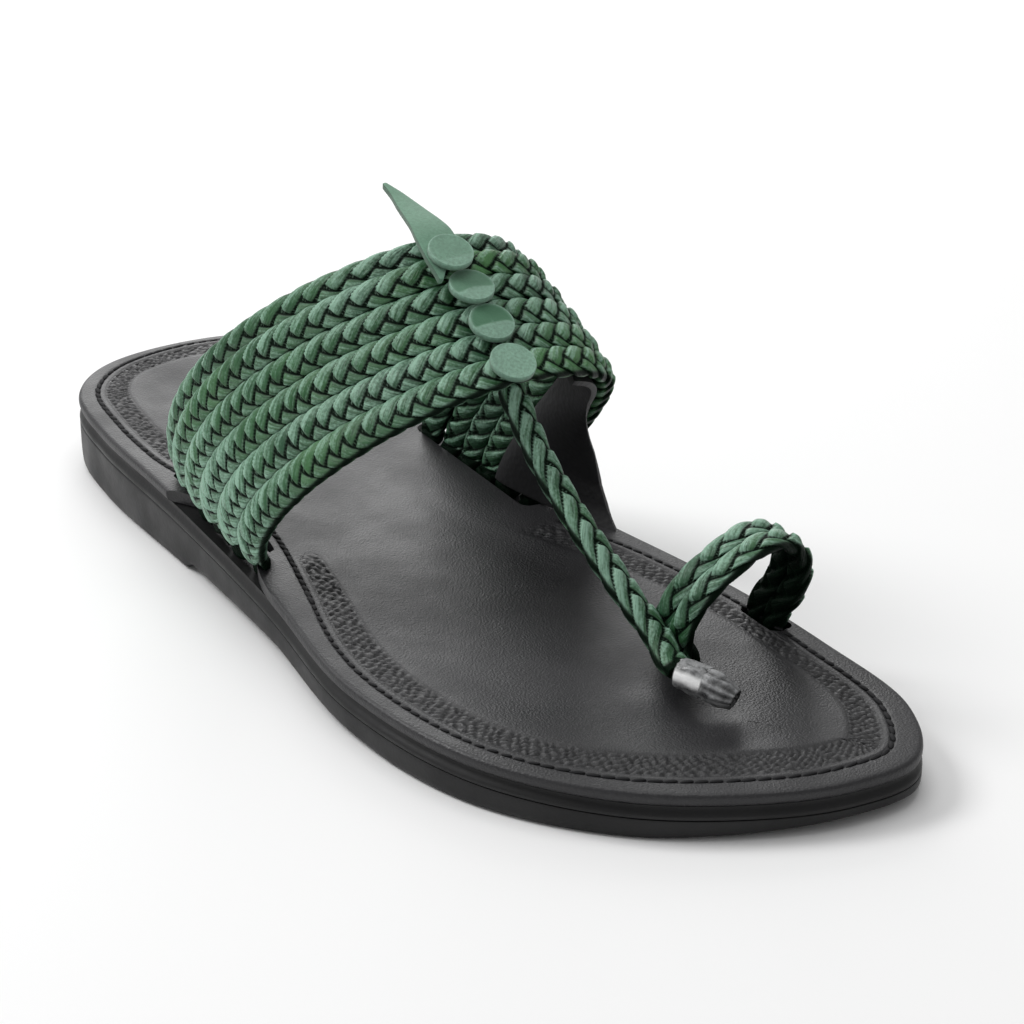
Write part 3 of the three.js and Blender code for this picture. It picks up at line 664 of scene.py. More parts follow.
class SoleOutline:
    """The sole's outline as columns from the heel along the lateral side to the toe and back."""

    def __init__(self, columns):
        dense = catmull(OUTLINE, 120, closed=True)
        heel, toe = dense[:, 0].argmin(), dense[:, 0].argmax()
        dense = np.roll(dense, -heel, axis=0)
        toe = (toe - heel) % len(dense)
        lateral = resample(dense[: toe + 1], columns + 1)
        medial = resample(np.r_[dense[toe:], dense[:1]], columns + 1)
        self.points = np.r_[lateral[:-1], medial[:-1]]
        along = unit(np.roll(self.points, -1, 0) - np.roll(self.points, 1, 0))
        self.inward = np.stack([-along[:, 1], along[:, 0]], 1)
        steps = np.linalg.norm(np.roll(self.points, -1, 0) - self.points, axis=1)
        self.arc = np.r_[0, np.cumsum(steps)[:-1]]
        self.total = steps.sum()
        opposite = self.points[(2 * columns - np.arange(2 * columns)) % (2 * columns)]
        middle = (self.points + opposite) / 2
        x = np.clip(middle[:, 0], SPINE_FROM, SPINE_TO)
        order = np.argsort(middle[: columns + 1, 0])
        y = np.interp(x, middle[: columns + 1, 0][order], middle[: columns + 1, 1][order])
        self.spine = np.stack([x, y], 1)

    def ring(self, inset, height, share=0.0):
        flat = self.points + self.inward * np.asarray(inset).reshape(-1, 1)
        flat = flat * (1 - share) + self.spine * share
        return np.c_[flat, height(flat[:, 0])]


def ring_skin(name, rings, capped=False, turned=False):
    """A skin over rings of points; capped closes its two ends, and turned turns its faces round."""
    rings = np.array(rings)
    rows, count = rings.shape[:2]
    index = np.arange(rows * count).reshape(rows, count)
    ahead = np.roll(index, -1, 1)
    faces = np.stack([index[:-1], ahead[:-1], ahead[1:], index[1:]], -1).reshape(-1, 4).tolist()
    if capped:
        faces += [index[0][::-1].tolist(), index[-1].tolist()]
    if turned:
        faces = [face[:1] + face[:0:-1] for face in faces]
    return new_object(name, rings.reshape(-1, 3), faces)


def between(bottom, top, share):
    """The height at a share of the way from one surface up to another."""
    return lambda x: bottom(x) * (1 - share) + top(x) * share


def plain_layer(name, outline, edge, bottom, top):
    """A sole layer: flat below and above, with its own edge shape between."""
    inwards = (0.06, 0.25, 0.6, 1)
    rings = [outline.ring(edge[0][0], bottom, share) for share in inwards[::-1]]
    rings += [outline.ring(inset, between(bottom, top, part)) for inset, part in edge]
    rings += [outline.ring(edge[-1][0], top, share) for share in inwards]
    return ring_skin(name, rings)


def along_mask(arc, total, stretches, soft):
    """1 on the given stretches of the outline, falling to 0 over the soft length."""
    mask = np.zeros_like(arc)
    for low, high in stretches:
        for turn in (-total, 0, total):
            begins = smoothstep(low, low + soft, arc + turn)
            ends = smoothstep(-high, -high + soft, -(arc + turn))
            mask = np.maximum(mask, np.minimum(begins, ends))
    return mask


def stamped_relief(arc, across, width, mask):
    """Depth share of the stamped border: rough diamonds between crossing grooves."""
    u = arc + 0.9 * value_noise(7, arc / 2.6, across / 2.2)
    v = across + 0.7 * value_noise(8, arc / 2.4, across / 2.2 + 5)
    slant = u - 0.35 * v
    first = np.abs(np.sin(math.pi * (slant / 2.7 + v / 2.5)))
    second = np.abs(np.sin(math.pi * (slant / 2.7 - v / 2.5)))
    depth = 1 - (first * second) ** 0.5
    rough = 0.5 + 0.5 * value_noise(9, arc / 0.8, across / 0.75)
    depth = 0.62 * depth + 0.75 * rough * (0.35 + 0.65 * depth)
    edges = smoothstep(0, 0.6, across) * smoothstep(0, 0.6, width - across)
    return np.clip(depth, 0, 1.1) * edges * mask


def footbed_mesh(settings, outline):
    """The footbed with its edge, stitch groove and stamped border as rings round the outline."""
    arc, total = outline.arc, outline.total
    stitch = rounded_table(STITCH_LINE, arc, 8)
    outer = stitch + BORDER_GAP
    inner = rounded_table(BORDER_INNER, arc, 8)
    mask = along_mask(arc, total, STAMPED, 7)
    bottom = lambda x: midsole_top(x) + FIT_GAP
    rings, stamp_shades, edges = [], [], []

    def add(ring, stamp_shade=0.0, edge=0.0):
        rings.append(ring)
        stamp_shades.append(np.broadcast_to(stamp_shade, arc.shape))
        edges.append(np.broadcast_to(edge, arc.shape))

    for share in (1, 0.5, 0.1):
        add(outline.ring(FOOTBED_EDGE[0][0], bottom, share))
    for inset, part in FOOTBED_EDGE:
        # painted highlight: the upper half of the rounded rim is marked to be painted paler
        add(outline.ring(inset, between(bottom, rim_height, part)), edge=0.6 * (part > 0.5))
    grooved = along_mask(arc, total, STITCHED, 4)

    def top_ring(inset, relief, share=0.0, stamp_shade=0.0, edge=0.0):
        ring = outline.ring(inset, rim_height, share)
        reach = np.asarray(inset) + share * np.linalg.norm(outline.spine - outline.points, axis=1)
        ring[:, 2] -= FOOTBED_DISH * smoothstep(11, 34, reach) + relief
        add(ring, stamp_shade, edge)

    first, last = FOOTBED_EDGE[-1][0], stitch + STITCH_GROOVE[0][0]
    for part in (0.35, 0.7):
        top_ring(first + (last - first) * part, 0.0)
    for offset, depth in STITCH_GROOVE:
        top_ring(stitch + offset, depth * grooved, stamp_shade=0.3 * grooved * (depth > 0.1))
    for offset, depth in OUTER_GROOVE:
        top_ring(outer + offset, depth * mask, stamp_shade=0.25 * mask * (depth > 0.1))
    for i in range(1, BORDER_ROWS):
        across = (inner - outer) * i / BORDER_ROWS
        depth = stamped_relief(arc, across, inner - outer, mask)
        # painted shade, darker where the stamping is deeper
        stamp_shade = np.clip(depth * 1.3 - 0.35, 0, 1) * 0.9
        top_ring(outer + across, depth * settings.stamp_depth / MM, stamp_shade=stamp_shade)
    for offset, depth in INNER_GROOVE:
        top_ring(inner + offset, depth * mask, stamp_shade=0.2 * mask * (depth > 0))
    field = inner + INNER_GROOVE[-1][0]
    x, y, radius, sunk = DIMPLE
    for share in np.linspace(0, 1, 13)[1:]:
        spot = outline.ring(field, rim_height, share)
        reach = np.hypot(spot[:, 0] - x, spot[:, 1] - y)
        top_ring(field, sunk * smoothstep(radius, 1.5, reach), share)
    made = ring_skin("footbed_leather", rings)
    point_attribute(made, "stamp_shade", np.concatenate(stamp_shades))
    point_attribute(made, "edge", np.concatenate(edges))
    return made


def slot_cutter(name, x0, x1, y0, y1, radius):
    """A tall block with rounded corners, to cut a slot."""
    bpy.ops.object.select_all(action="DESELECT")
    middle = (np.array([(x0 + x1) / 2, (y0 + y1) / 2, (CUT_FROM + CUT_TO) / 2]) + SHIFT) * MM
    bpy.ops.mesh.primitive_cube_add(size=1, location=middle)
    block = bpy.context.object
    block.name = name
    block.scale = ((x1 - x0) * MM, (y1 - y0) * MM, (CUT_TO - CUT_FROM) * MM)
    bpy.ops.object.transform_apply(location=True, rotation=True, scale=True)
    bpy.ops.object.mode_set(mode="EDIT")
    bpy.ops.mesh.select_all(action="DESELECT")
    bpy.ops.object.mode_set(mode="OBJECT")
    for edge in block.data.edges:
        a, b = (block.data.vertices[i].co for i in edge.vertices)
        edge.select = abs(a.z - b.z) > 0.01
    bpy.ops.object.mode_set(mode="EDIT")
    bpy.ops.mesh.select_mode(type="EDGE")
    bpy.ops.mesh.bevel(offset=radius * MM, segments=8)
    bpy.ops.object.mode_set(mode="OBJECT")
    return block


def notch_cutter():
    """A tall prism over the notch, to cut the footbed back beside the lateral cords."""
    edge = smooth_line(NOTCH, 12, 90)
    levels = [np.c_[edge, np.full(len(edge), float(z))] for z in (CUT_FROM, CUT_TO)]
    block = ring_skin("notch", levels, capped=True)
    tidy_mesh(block)
    return block


def cut_slots(footbed):
    """Cuts the notch and the slots for the cords through the footbed."""
    cutters = [notch_cutter()] + [slot_cutter(f"cutter_{i}", *row) for i, row in enumerate(SLOTS)]
    for cutter in cutters:
        apply_modifier(footbed, "BOOLEAN", object=cutter, operation="DIFFERENCE", solver="MANIFOLD")
        bpy.data.objects.remove(cutter)


def stitch_capsule():
    """One stitch lying along X, as points and faces."""
    bpy.ops.object.select_all(action="DESELECT")
    bpy.ops.mesh.primitive_uv_sphere_add(segments=8, ring_count=6, radius=0.5, rotation=(0, math.pi / 2, 0))
    capsule = bpy.context.object
    bpy.ops.object.transform_apply(location=True, rotation=True, scale=True)
    points = np.array([v.co for v in capsule.data.vertices])
    faces = [list(p.vertices) for p in capsule.data.polygons]
    bpy.data.objects.remove(capsule)
    points[:, 0] = np.sign(points[:, 0]) * (np.abs(points[:, 0]) * 2) ** 0.7 / 2
    return points, faces


def stitching_mesh(settings, outline):
    """Saddle stitches round the footbed, joined in one mesh."""
    arc = np.linspace(0, outline.total, 4000, endpoint=False)
    at = np.interp(arc, np.r_[outline.arc, outline.total], np.arange(len(outline.arc) + 1))
    whole = np.floor(at).astype(int) % len(outline.arc)
    flat = outline.points[whole] + outline.inward[whole] * rounded_table(STITCH_LINE, arc, 8)[:, None]
    on = along_mask(arc, outline.total, STITCHED, 0.01) > 0.5
    steps = arc_steps(flat)
    pitch, body = settings.stitch_pitch / MM, settings.stitch_length / MM
    points, faces, offset = [], [], 0
    shape, shape_faces = stitch_capsule()
    rng = random.Random(11)
    for k in range(int(steps[-1] / pitch)):
        i = np.searchsorted(steps, k * pitch)
        if not on[i]:
            continue
        along = flat[(i + 6) % len(flat)] - flat[i - 6]
        angle = math.atan2(along[1], along[0]) + rng.uniform(-0.12, 0.12) + 0.16
        size = np.array([body * rng.uniform(0.9, 1.08), 0.95 * rng.uniform(0.9, 1.1), 0.62])
        turned = shape * size * (1 + 0.25 * (280 < k * pitch < 420) + 0.35 * (k * pitch < 185))
        c, s = math.cos(angle), math.sin(angle)
        x, y = turned[:, 0] * c - turned[:, 1] * s, turned[:, 0] * s + turned[:, 1] * c
        px, py = flat[i]
        z = rim_height(px + x) - 0.12 + turned[:, 2]
        points.append(np.stack([px + x, py + y, z], 1))
        faces += [[v + offset for v in face] for face in shape_faces]
        offset += len(shape)
    return new_object("stitching", np.concatenate(points), faces)


# ---- plaited cords --------------------------------------------------------------------------
def bezier(p, t):
    t = t[:, None]
    return (1 - t) ** 3 * p[0] + 3 * t * (1 - t) ** 2 * p[1] + 3 * t * t * (1 - t) * p[2] + t ** 3 * p[3]


def foot_bend(foot, reach):
    """The last steps of a band cord as it turns in under the footbed."""
    turn = np.linspace(0, math.pi / 2, 7)[1:, None]
    drop = foot[2] - midsole_top(foot[0]) - FOOT_CLEAR
    return foot + np.array([0, 1, 0]) * reach * (1 - np.cos(turn)) - np.array([0, 0, 1]) * drop * np.sin(turn)


def band_line(k, samples=90):
    """Centre line of a band cord from its lateral foot over the crest to its medial foot."""
    u = k / (len(BAND_CORDS) - 1)
    xl, yl, xc, yc, zc, xm, ym = BAND_CORDS[k]
    crest = np.array([xc, yc, zc])
    arm = lambda start, grows: np.array(start) + u * np.array(grows)
    lateral = np.array([xl, yl, rim_height(xl) + CORD_CLEAR])
    medial = np.array([xm, ym, rim_height(xm) + CORD_CLEAR])
    t = np.linspace(0, 1, samples)
    leaves = lateral + arm(FOOT_ARM_LATERAL, FOOT_ARM_LATERAL_GROWS)
    nears = crest + arm(CREST_ARM_LATERAL, CREST_ARM_LATERAL_GROWS)
    rise = bezier([lateral, leaves, nears, crest], t)
    leaves = crest + arm(CREST_ARM_MEDIAL, CREST_ARM_MEDIAL_GROWS)
    nears = medial + arm(FOOT_ARM_MEDIAL, FOOT_ARM_MEDIAL_GROWS)
    fall = bezier([crest, leaves, nears, medial], t)
    start = foot_bend(lateral, FOOT_TURN_LATERAL)[::-1]
    return np.concatenate([start, rise, fall[1:], foot_bend(medial, -FOOT_TURN_MEDIAL)])


def band_frames(k):
    """Centre, tangent, forward (towards the next cord), out and pitch along a band cord."""
    count = len(BAND_CORDS)
    here, back, ahead = band_line(k), band_line(max(0, k - 1)), band_line(min(count - 1, k + 1))
    tangent = unit(np.gradient(here, axis=0))
    step = (ahead - back) / (1 if k in (0, count - 1) else 2)
    forward = step - tangent * (step * tangent).sum(1, keepdims=True)
    pitch = np.linalg.norm(forward, axis=1)
    forward = unit(forward)
    if k == 0:
        share = np.linspace(0, 1, len(here))
        trim = FIRST_CORD_TRIM * smoothstep(0.8, 0.5, share)
        here = here + forward * trim[:, None] / 2
        pitch = pitch - trim
        rear, front = FIRST_CORD_SINK
        sink = rear + (front - rear) * smoothstep(0.45, 0.7, share)
        here = here - unit(np.cross(forward, tangent)) * sink[:, None]
    steps = arc_steps(here)
    pitch = pitch * (1 - FOOT_TAPER[k] * smoothstep(11, 1.5, np.minimum(steps, steps[-1] - steps)))
    return here, forward, unit(np.cross(forward, tangent)), pitch


def path_frames(points, sideways, width, upward):
    """Frames along a line through the points; upward flips out to the side that shows."""
    here = smooth_line(points, 40, 200)
    tangent = unit(np.gradient(here, axis=0))
    side = np.broadcast_to(np.array(sideways, float), here.shape)
    forward = unit(side - tangent * (side * tangent).sum(1, keepdims=True))
    out = unit(np.cross(forward, tangent)) * upward
    return here, forward, out, np.full(len(here), float(width))


def loop_points(offset):
    """The route of one of the toe loop's cords, set off from the loop's middle."""
    foot = midsole_top(LOOP_FOOT_MEDIAL[0]) + FOOT_CLEAR
    (xl, yl), (xm, ym) = LOOP_FOOT_LATERAL, LOOP_FOOT_MEDIAL
    points = []
    for across, up, belly, lean in LOOP_PROFILE:
        x = xl + (xm - xl) * across + offset + lean
        y = yl + (ym - yl) * across + belly
        points.append((x, y, foot + (LOOP_TOP_Z - foot) * up))
    return points


LEAF_CROSS = 0.24
LEAF_SLOPE = 1.12
LEAF_TURN = 0.24
LEAF_DEPTH = 1.05
LEAF_STREAKS = 3.2
LEAF_STRIDE = 11.3
SECTION_POWER = 0.88
CORD_STEP = 0.26


def leaf_pattern(turn, wrap, seed):
    """The plait's leaves at each turn along a cord and each wrap round it (0 at the face, 2 behind).
    Gives height share, painted shade, worn paleness with painted highlight, a place across the leaf and a
    number for the leaf."""
    front = np.abs(wrap) <= 1
    folded = np.where(front, wrap, np.sign(wrap) * (2 - np.abs(wrap)))
    line = -LEAF_CROSS * np.cos(2 * math.pi * (turn - 0.04)) * np.where(front, 1, -1)
    right = folded > line
    reach = np.where(right, wrap, -wrap)
    reach = np.where(reach < -1, reach + 4, reach) + LEAF_CROSS
    phase = turn - LEAF_SLOPE * reach - np.where(right, 0, 0.5)
    number = np.floor(phase)
    share = phase - number
    gap = np.abs(folded - line)
    lead = 0.5 + 0.5 * np.cos(2 * math.pi * (turn - 0.27))
    lead = np.where(right == front, lead, 1 - lead)
    outer = smoothstep(0.55, 1.0, np.abs(folded))
    rise = smoothstep(0, 0.07, share)
    fall = 1 - 0.8 * smoothstep(0.25, 1.0, share) ** 1.3
    centre = smoothstep(0, 0.04 + 0.28 * (1 - lead), gap)
    height = rise * fall * centre
    height = height * (1 - 0.35 * outer) + 0.30 * outer
    # painted shade where each leaf's end goes under the next, and along the gap down the middle
    under = smoothstep(0.80, 0.97, share) * (1 - 0.5 * outer) + smoothstep(0.03, 0, share) * (1 - 0.5 * outer)
    beside = (1 - lead) * smoothstep(0.13, 0.02, gap) + lead * smoothstep(0.04, 0, gap) * 0.5
    dark = 1 - (1 - np.clip(under, 0, 1)) * (1 - 0.95 * np.clip(beside, 0, 1))
    # paler near each leaf's tip, worn and painted highlight together, and paler on the side of the cord
    # towards the light, a painted highlight
    wear_and_highlight = smoothstep(0.02, 0.10, share) * smoothstep(0.85, 0.15, share) - 0.5
    wear_and_highlight = wear_and_highlight + 0.35 * smoothstep(0.3, -0.7, folded) * front
    tone = value_noise(seed, number * 0.77 + np.where(right, 0, 9.3)) * 1.3
    return height, dark, wear_and_highlight, share, number + np.where(right, 0, 40), tone


def plait(name, settings, frames, thick, dye, seed, width_share=1.0, inner_shade=0.0, shade_end=0.8, foot_thin=0.0):
    """A plait along the frames: long leaves that overlap in a V pointing at the cord's start.
    Its dye is two tables along it, of fading to grey and of warmth, and it can paint shade on the side that
    faces in."""
    here, forward, out, width = frames
    width = width * width_share
    steps = arc_steps(here)
    pitch = settings.plait_pitch / MM * (settings.cord_width / MM / np.maximum(width, 5.2)) ** 1.3
    turns = np.r_[0, np.cumsum(np.diff(steps) / ((pitch[1:] + pitch[:-1]) / 2))]
    along = np.linspace(0, steps[-1], int(steps[-1] / CORD_STEP))
    share = along / steps[-1]
    centre = sampled(along, steps, here)
    forward, out = unit(sampled(along, steps, forward)), unit(sampled(along, steps, out))
    width = np.interp(along, steps, width)[:, None]
    thick = thick * (1 - foot_thin * smoothstep(6, 1.5, along))[:, None]
    turn = (np.interp(along, steps, turns) + seed * 0.37 + 0.05 * value_noise(seed, along / 6))[:, None]
    angle = np.linspace(-math.pi, math.pi, settings.cord_sides, endpoint=False)[None, :]
    wrap = angle / (math.pi / 2)
    wander = 0.05 * value_noise(seed + 1, along / 4)[:, None] * (1 - np.abs(np.sin(angle)))
    turn = turn + 0.05 * value_noise(seed + 2, along[:, None] / 5, 4 + wrap * 1.4)
    faced = (wrap + wander - LEAF_TURN + 2) % 4 - 2
    height, dark, wear_and_highlight, across, leaf, tone = leaf_pattern(turn, faced, seed)
    squared = lambda v: np.sign(v) * np.abs(v) ** SECTION_POWER
    depth = LEAF_DEPTH * (height - 1) + 0.10 * value_noise(seed + 3, along[:, None] / 3, 5 + wrap)
    normal = unit(np.stack([np.sin(angle) / width, np.cos(angle) / thick], -1))
    aside = squared(np.sin(angle)) * width / 2 + normal[..., 0] * depth
    above = squared(np.cos(angle)) * thick / 2 + normal[..., 1] * depth
    ring = centre[:, None] + forward[:, None] * aside[..., None] + out[:, None] * above[..., None]
    made = ring_skin(name, ring, capped=True, turned=True)
    # painted shade: each cord darkens towards its feet, under the rim
    ends = smoothstep(shade_end + 1.8, shade_end, np.minimum(along, steps[-1] - along))[:, None]
    # painted shade along the cord's sides, between neighbouring cords
    valley_shade = 0.75 * smoothstep(0.80, 1.02, np.abs(np.sin(angle)) ** 1.5)
    # painted shade on the side of the cord that faces in
    behind = smoothstep(0.15, -0.25, np.cos(angle)) * inner_shade
    # the dye's fading to grey along the cord, random leaf tone, and worn paleness with painted highlight
    fade_and_highlight = table(dye[0], share)[:, None] + 0.14 * tone + 0.5 * wear_and_highlight
    warm = table(dye[1], share)[:, None] + 0.15 * value_noise(seed + 4, along / 7)[:, None] + 0 * angle
    # all the painted shade, joined in one attribute
    cord_shade = 1 - (1 - dark) * (1 - valley_shade) * (1 - behind) + ends
    for key, values in (("fade_and_highlight", fade_and_highlight), ("warm", warm), ("cord_shade", cord_shade)):
        point_attribute(made, key, np.clip(values, 0, 1))
    strand = np.stack([along[:, None] + 0 * angle, across * LEAF_STREAKS + leaf * LEAF_STRIDE], -1)
    strand = strand.reshape(-1, 2)
    layer = made.data.uv_layers.new(name="strand")
    loops = np.zeros(len(made.data.loops), int)
    made.data.loops.foreach_get("vertex_index", loops)
    layer.data.foreach_set("uv", strand[loops].astype(np.float32).ravel())
    made.data.shade_smooth()
    return made


# dye of each band cord along its length from the lateral foot: share of its length, fade to grey
BAND_FADE = [
    [(0, 0.64), (0.1, 0.3), (0.25, 0.13), (0.38, 0.26), (0.46, 0.42), (0.6, 0.38), (0.8, 0.17), (1, 0.17)],
    [(0, 0.68), (0.1, 0.34), (0.2, 0.04), (0.32, 0.21), (0.42, 0.42), (0.55, 0.13), (0.8, 0.13), (1, 0.17)],
    [(0, 0.72), (0.1, 0.51), (0.2, 0.1), (0.3, 0.17), (0.42, 0.34), (0.55, 0.38), (0.8, 0.17), (1, 0.17)],
    [(0, 0.72), (0.1, 0.51), (0.2, 0.09), (0.3, 0.21), (0.42, 0.3), (0.55, 0.42), (0.8, 0.17), (1, 0.17)],
    [(0, 0.77), (0.1, 0.59), (0.2, 0.3), (0.3, 0.51), (0.42, 0.42), (0.55, 0.34), (0.8, 0.13), (1, 0.17)],
    [(0, 0.72), (0.08, 0.47), (0.16, 0.17), (0.28, 0.13), (0.42, 0.38), (0.52, 0.21), (0.8, 0.09), (1, 0.17)],
]
# share of its length, how yellow the green is
BAND_WARM = [
    [(0, 0.1), (0.3, 0.2), (0.5, 0.1), (1, 0)],
    [(0, 0.1), (0.2, 0.4), (0.4, 0.1), (0.55, 0.8), (0.7, 0.3), (1, 0)],
    [(0, 0.1), (0.3, 0.3), (0.5, 0.2), (1, 0)],
    [(0, 0.1), (0.3, 0.3), (0.5, 0.3), (0.62, 0.6), (1, 0)],
    [(0, 0.0), (0.2, 0.1), (0.5, 0.1), (0.62, 0.7), (1, 0)],
    [(0, 0.0), (0.2, 0.4), (0.4, 0.2), (0.55, 0.9), (0.7, 0.6), (1, 0)],
]
T_STRAP_DYE = ([(0, 0.35), (0.3, 0.45), (0.7, 0.5), (1, 0.2)], [(0, 0.1), (0.5, 0.2), (1, 0.3)])
LOOP_DYE = (
    [(0, 0.05), (0.25, 0.15), (0.4, 0.55), (0.6, 0.5), (0.8, 0.1), (1, 0.05)],
    [(0, 0.1), (0.5, 0.2), (1, 0.05)],
)


# ---- trim -----------------------------------------------------------------------------------
def round_edges(made, width, segments):
    apply_modifier(
        made, "BEVEL", width=width * MM, segments=segments, limit_method="ANGLE", angle_limit=SHARP_ANGLE)


def disc_mesh(name, x, y, z, tilt, shade_from, darkness):
    """A leather disc with a rounded rim, with painted shade over its upper part above a soft line."""
    bpy.ops.object.select_all(action="DESELECT")
    bpy.ops.mesh.primitive_cylinder_add(
        vertices=56, radius=DISC_RADIUS * MM, depth=DISC_THICK * MM, end_fill_type="NGON", location=(0, 0, 0))
    made = bpy.context.object
    made.name = made.data.name = name
    bpy.ops.object.mode_set(mode="EDIT")
    bpy.ops.mesh.select_mode(type="FACE")
    bpy.ops.mesh.select_all(action="DESELECT")
    bpy.ops.object.mode_set(mode="OBJECT")
    for face in made.data.polygons:
        face.select = face.normal.z > 0.9
    bpy.ops.object.mode_set(mode="EDIT")
    for share in DISC_INSETS:
        bpy.ops.mesh.inset(thickness=DISC_RADIUS * MM * share, depth=0)
    bpy.ops.object.mode_set(mode="OBJECT")
    round_edges(made, DISC_ROUNDING, 3)
    co = np.array([v.co for v in made.data.vertices]) / MM
    top = co[:, 2] > DISC_THICK / 2 - 0.01
    reach = np.hypot(co[:, 0], co[:, 1]) / DISC_RADIUS
    line = -co[:, 0] / DISC_RADIUS + 0.18 * (co[:, 1] / DISC_RADIUS) ** 2
    line += 0.05 * value_noise(len(name) + int(x), co[:, 0] / 1.6 + 9, co[:, 1] / 1.6 + 9)
    # painted shade: darker above a soft line across the disc, with a slight dip
    nap_and_shade = smoothstep(shade_from - 0.05, shade_from + 0.06, line) * smoothstep(0.96, 0.88, reach) * top
    co[:, 2] -= np.where(top, 0.10 * nap_and_shade - 0.06 * (1 - reach ** 2), 0)
    made.data.vertices.foreach_set("co", (co * MM).ravel())
    point_attribute(made, "nap_and_shade", nap_and_shade * darkness)
    point_attribute(made, "cut", np.where(co[:, 2] < DISC_THICK / 2 - 0.3, 0.75, 0.0))
    turn = Matrix.Rotation(math.radians(tilt), 4, "Y")
    made.data.transform(Matrix.Translation(Vector((np.array([x, y, z]) + SHIFT) * MM)) @ turn)
    smooth_by_angle(made, 40)
    return made


def shaped_sheet(name, rows, columns, shape, thick):
    """A grid shaped by a function of (along, across), given its thickness and rounded edges."""
    bpy.ops.object.select_all(action="DESELECT")
    bpy.ops.mesh.primitive_grid_add(x_subdivisions=rows, y_subdivisions=columns, size=1, location=(0, 0, 0))
    made = bpy.context.object
    made.name = made.data.name = name
    co = np.array([v.co for v in made.data.vertices])
    placed = (shape(co[:, 0] + 0.5, co[:, 1] + 0.5) + SHIFT) * MM
    made.data.vertices.foreach_set("co", placed.ravel())
    made.data.update()
    apply_modifier(made, "SOLIDIFY", thickness=thick * MM, offset=0.0, use_even_offset=True)
    round_edges(made, min(0.3, thick * 0.22), 2)
    tidy_mesh(made)
    smooth_by_angle(made, 50)
    return made


def horn_shape(along, across):
    """The horn from its tail beside the first disc to its point."""
    smooth = catmull(HORN, 24, closed=False)
    centre = sampled(along * (len(smooth) - 1), np.arange(len(smooth)), smooth)
    side = across * 2 - 1
    centre[:, 1] += side * centre[:, 3]
    centre[:, 2] += HORN_CROWN * (1 - side ** 2) * smoothstep(0, 0.3, along) * (centre[:, 3] / 5.6) - 0.1
    return centre[:, :3]


def ear_medial_shape(along, across):
    """The leather flap that lines the two front cords on the inside, flaring forward at its foot to the
    footbed's rim.
    """
    at = EAR_MEDIAL_SPAN[0] + along * (EAR_MEDIAL_SPAN[1] - EAR_MEDIAL_SPAN[0])
    inner = []
    for k in (4, 5):
        here, _, out, _ = band_frames(k)
        inner.append(sampled(at, np.arange(len(here)), here - out * EAR_DEPTH))
    step = inner[1] - inner[0]
    rear, middle, front = inner[1] - step * 1.2, inner[1], inner[1] + step * 0.42
    rows = np.array(EAR_MEDIAL_FRONT)
    flare = sampled(along, rows[:, 0], rows[:, 1:])
    blend = smoothstep(0.38, 0.62, along)[:, None]
    front = flare * (1 - blend) + front * blend
    t = across[:, None]
    return (1 - t) * (1 - 2 * t) * rear + 4 * t * (1 - t) * middle + t * (2 * t - 1) * front


def ear_lateral_shape(along, across):
    """The narrow flap behind the front cord on its lateral side."""
    here, forward, out, _ = band_frames(len(BAND_CORDS) - 1)
    at = EAR_LATERAL_SPAN[0] + along * (EAR_LATERAL_SPAN[1] - EAR_LATERAL_SPAN[0])
    here, forward, out = [sampled(at, np.arange(len(a)), a) for a in (here, forward, out)]
    sideways = np.interp(across, (0, 0.5, 1), EAR_LATERAL_ACROSS)[:, None]
    return here + unit(forward) * sideways - unit(out) * EAR_DEPTH


def round_rings(line, reach, angle):
    """Rings round a line at the given reach, from its medial side upwards."""
    run = unit(np.gradient(line, axis=0))
    side = unit(np.array([0, 1, 0]) - run * run[:, 1:2])
    up = np.cross(run, side)
    aside, above = (reach * np.cos(angle))[..., None], (reach * np.sin(angle))[..., None]
    return line[:, None] + side[:, None] * aside + up[:, None] * above


def ferrule_mesh():
    """The strap's end wrapped in shiny tape, gathered to a lip where the knot leaves it."""
    line = smooth_line(FERRULE_PATH, 20, 40)
    share = np.linspace(0, 1, len(line))
    radius = np.interp(share, (0, 0.5, 1), FERRULE_RADII) * (1 - 0.35 * smoothstep(0.93, 1.0, share) ** 2)
    radius = radius - 0.25 * smoothstep(0.07, 0.0, share)
    angle = np.linspace(0, 2 * math.pi, 48, endpoint=False)
    calm = 1 - np.exp(-((angle - HIGHLIGHT_ANGLE) / (HIGHLIGHT_HALF * 1.3)) ** 4)[None, :]
    length, turn = np.meshgrid(share, angle, indexing="ij")
    crinkle = 0.24 * value_noise(21, length * 5, 16 * (1 + np.cos(turn)) / 2)
    fold = 0.10 * np.sin(turn * 9 + 4 * length)
    reach = radius[:, None] - 0.15 + (crinkle + fold) * calm
    made = ring_skin("ferrule_wrap", round_rings(line, reach, angle), capped=True)
    # painted highlight: a bright stripe along the side facing the camera
    highlight_stripe = np.exp(-((turn - HIGHLIGHT_ANGLE) / HIGHLIGHT_HALF) ** 4) * smoothstep(0.0, 0.05, length)
    point_attribute(made, "band", highlight_stripe * smoothstep(1.0, 0.95, length))
    # painted shade at both ends of the wrap
    ends = smoothstep(0.9, 0.99, length) + smoothstep(0.04, 0.0, length) * 0.7
    point_attribute(made, "wrap_shade", ends)
    smooth_by_angle(made, 60)
    return made


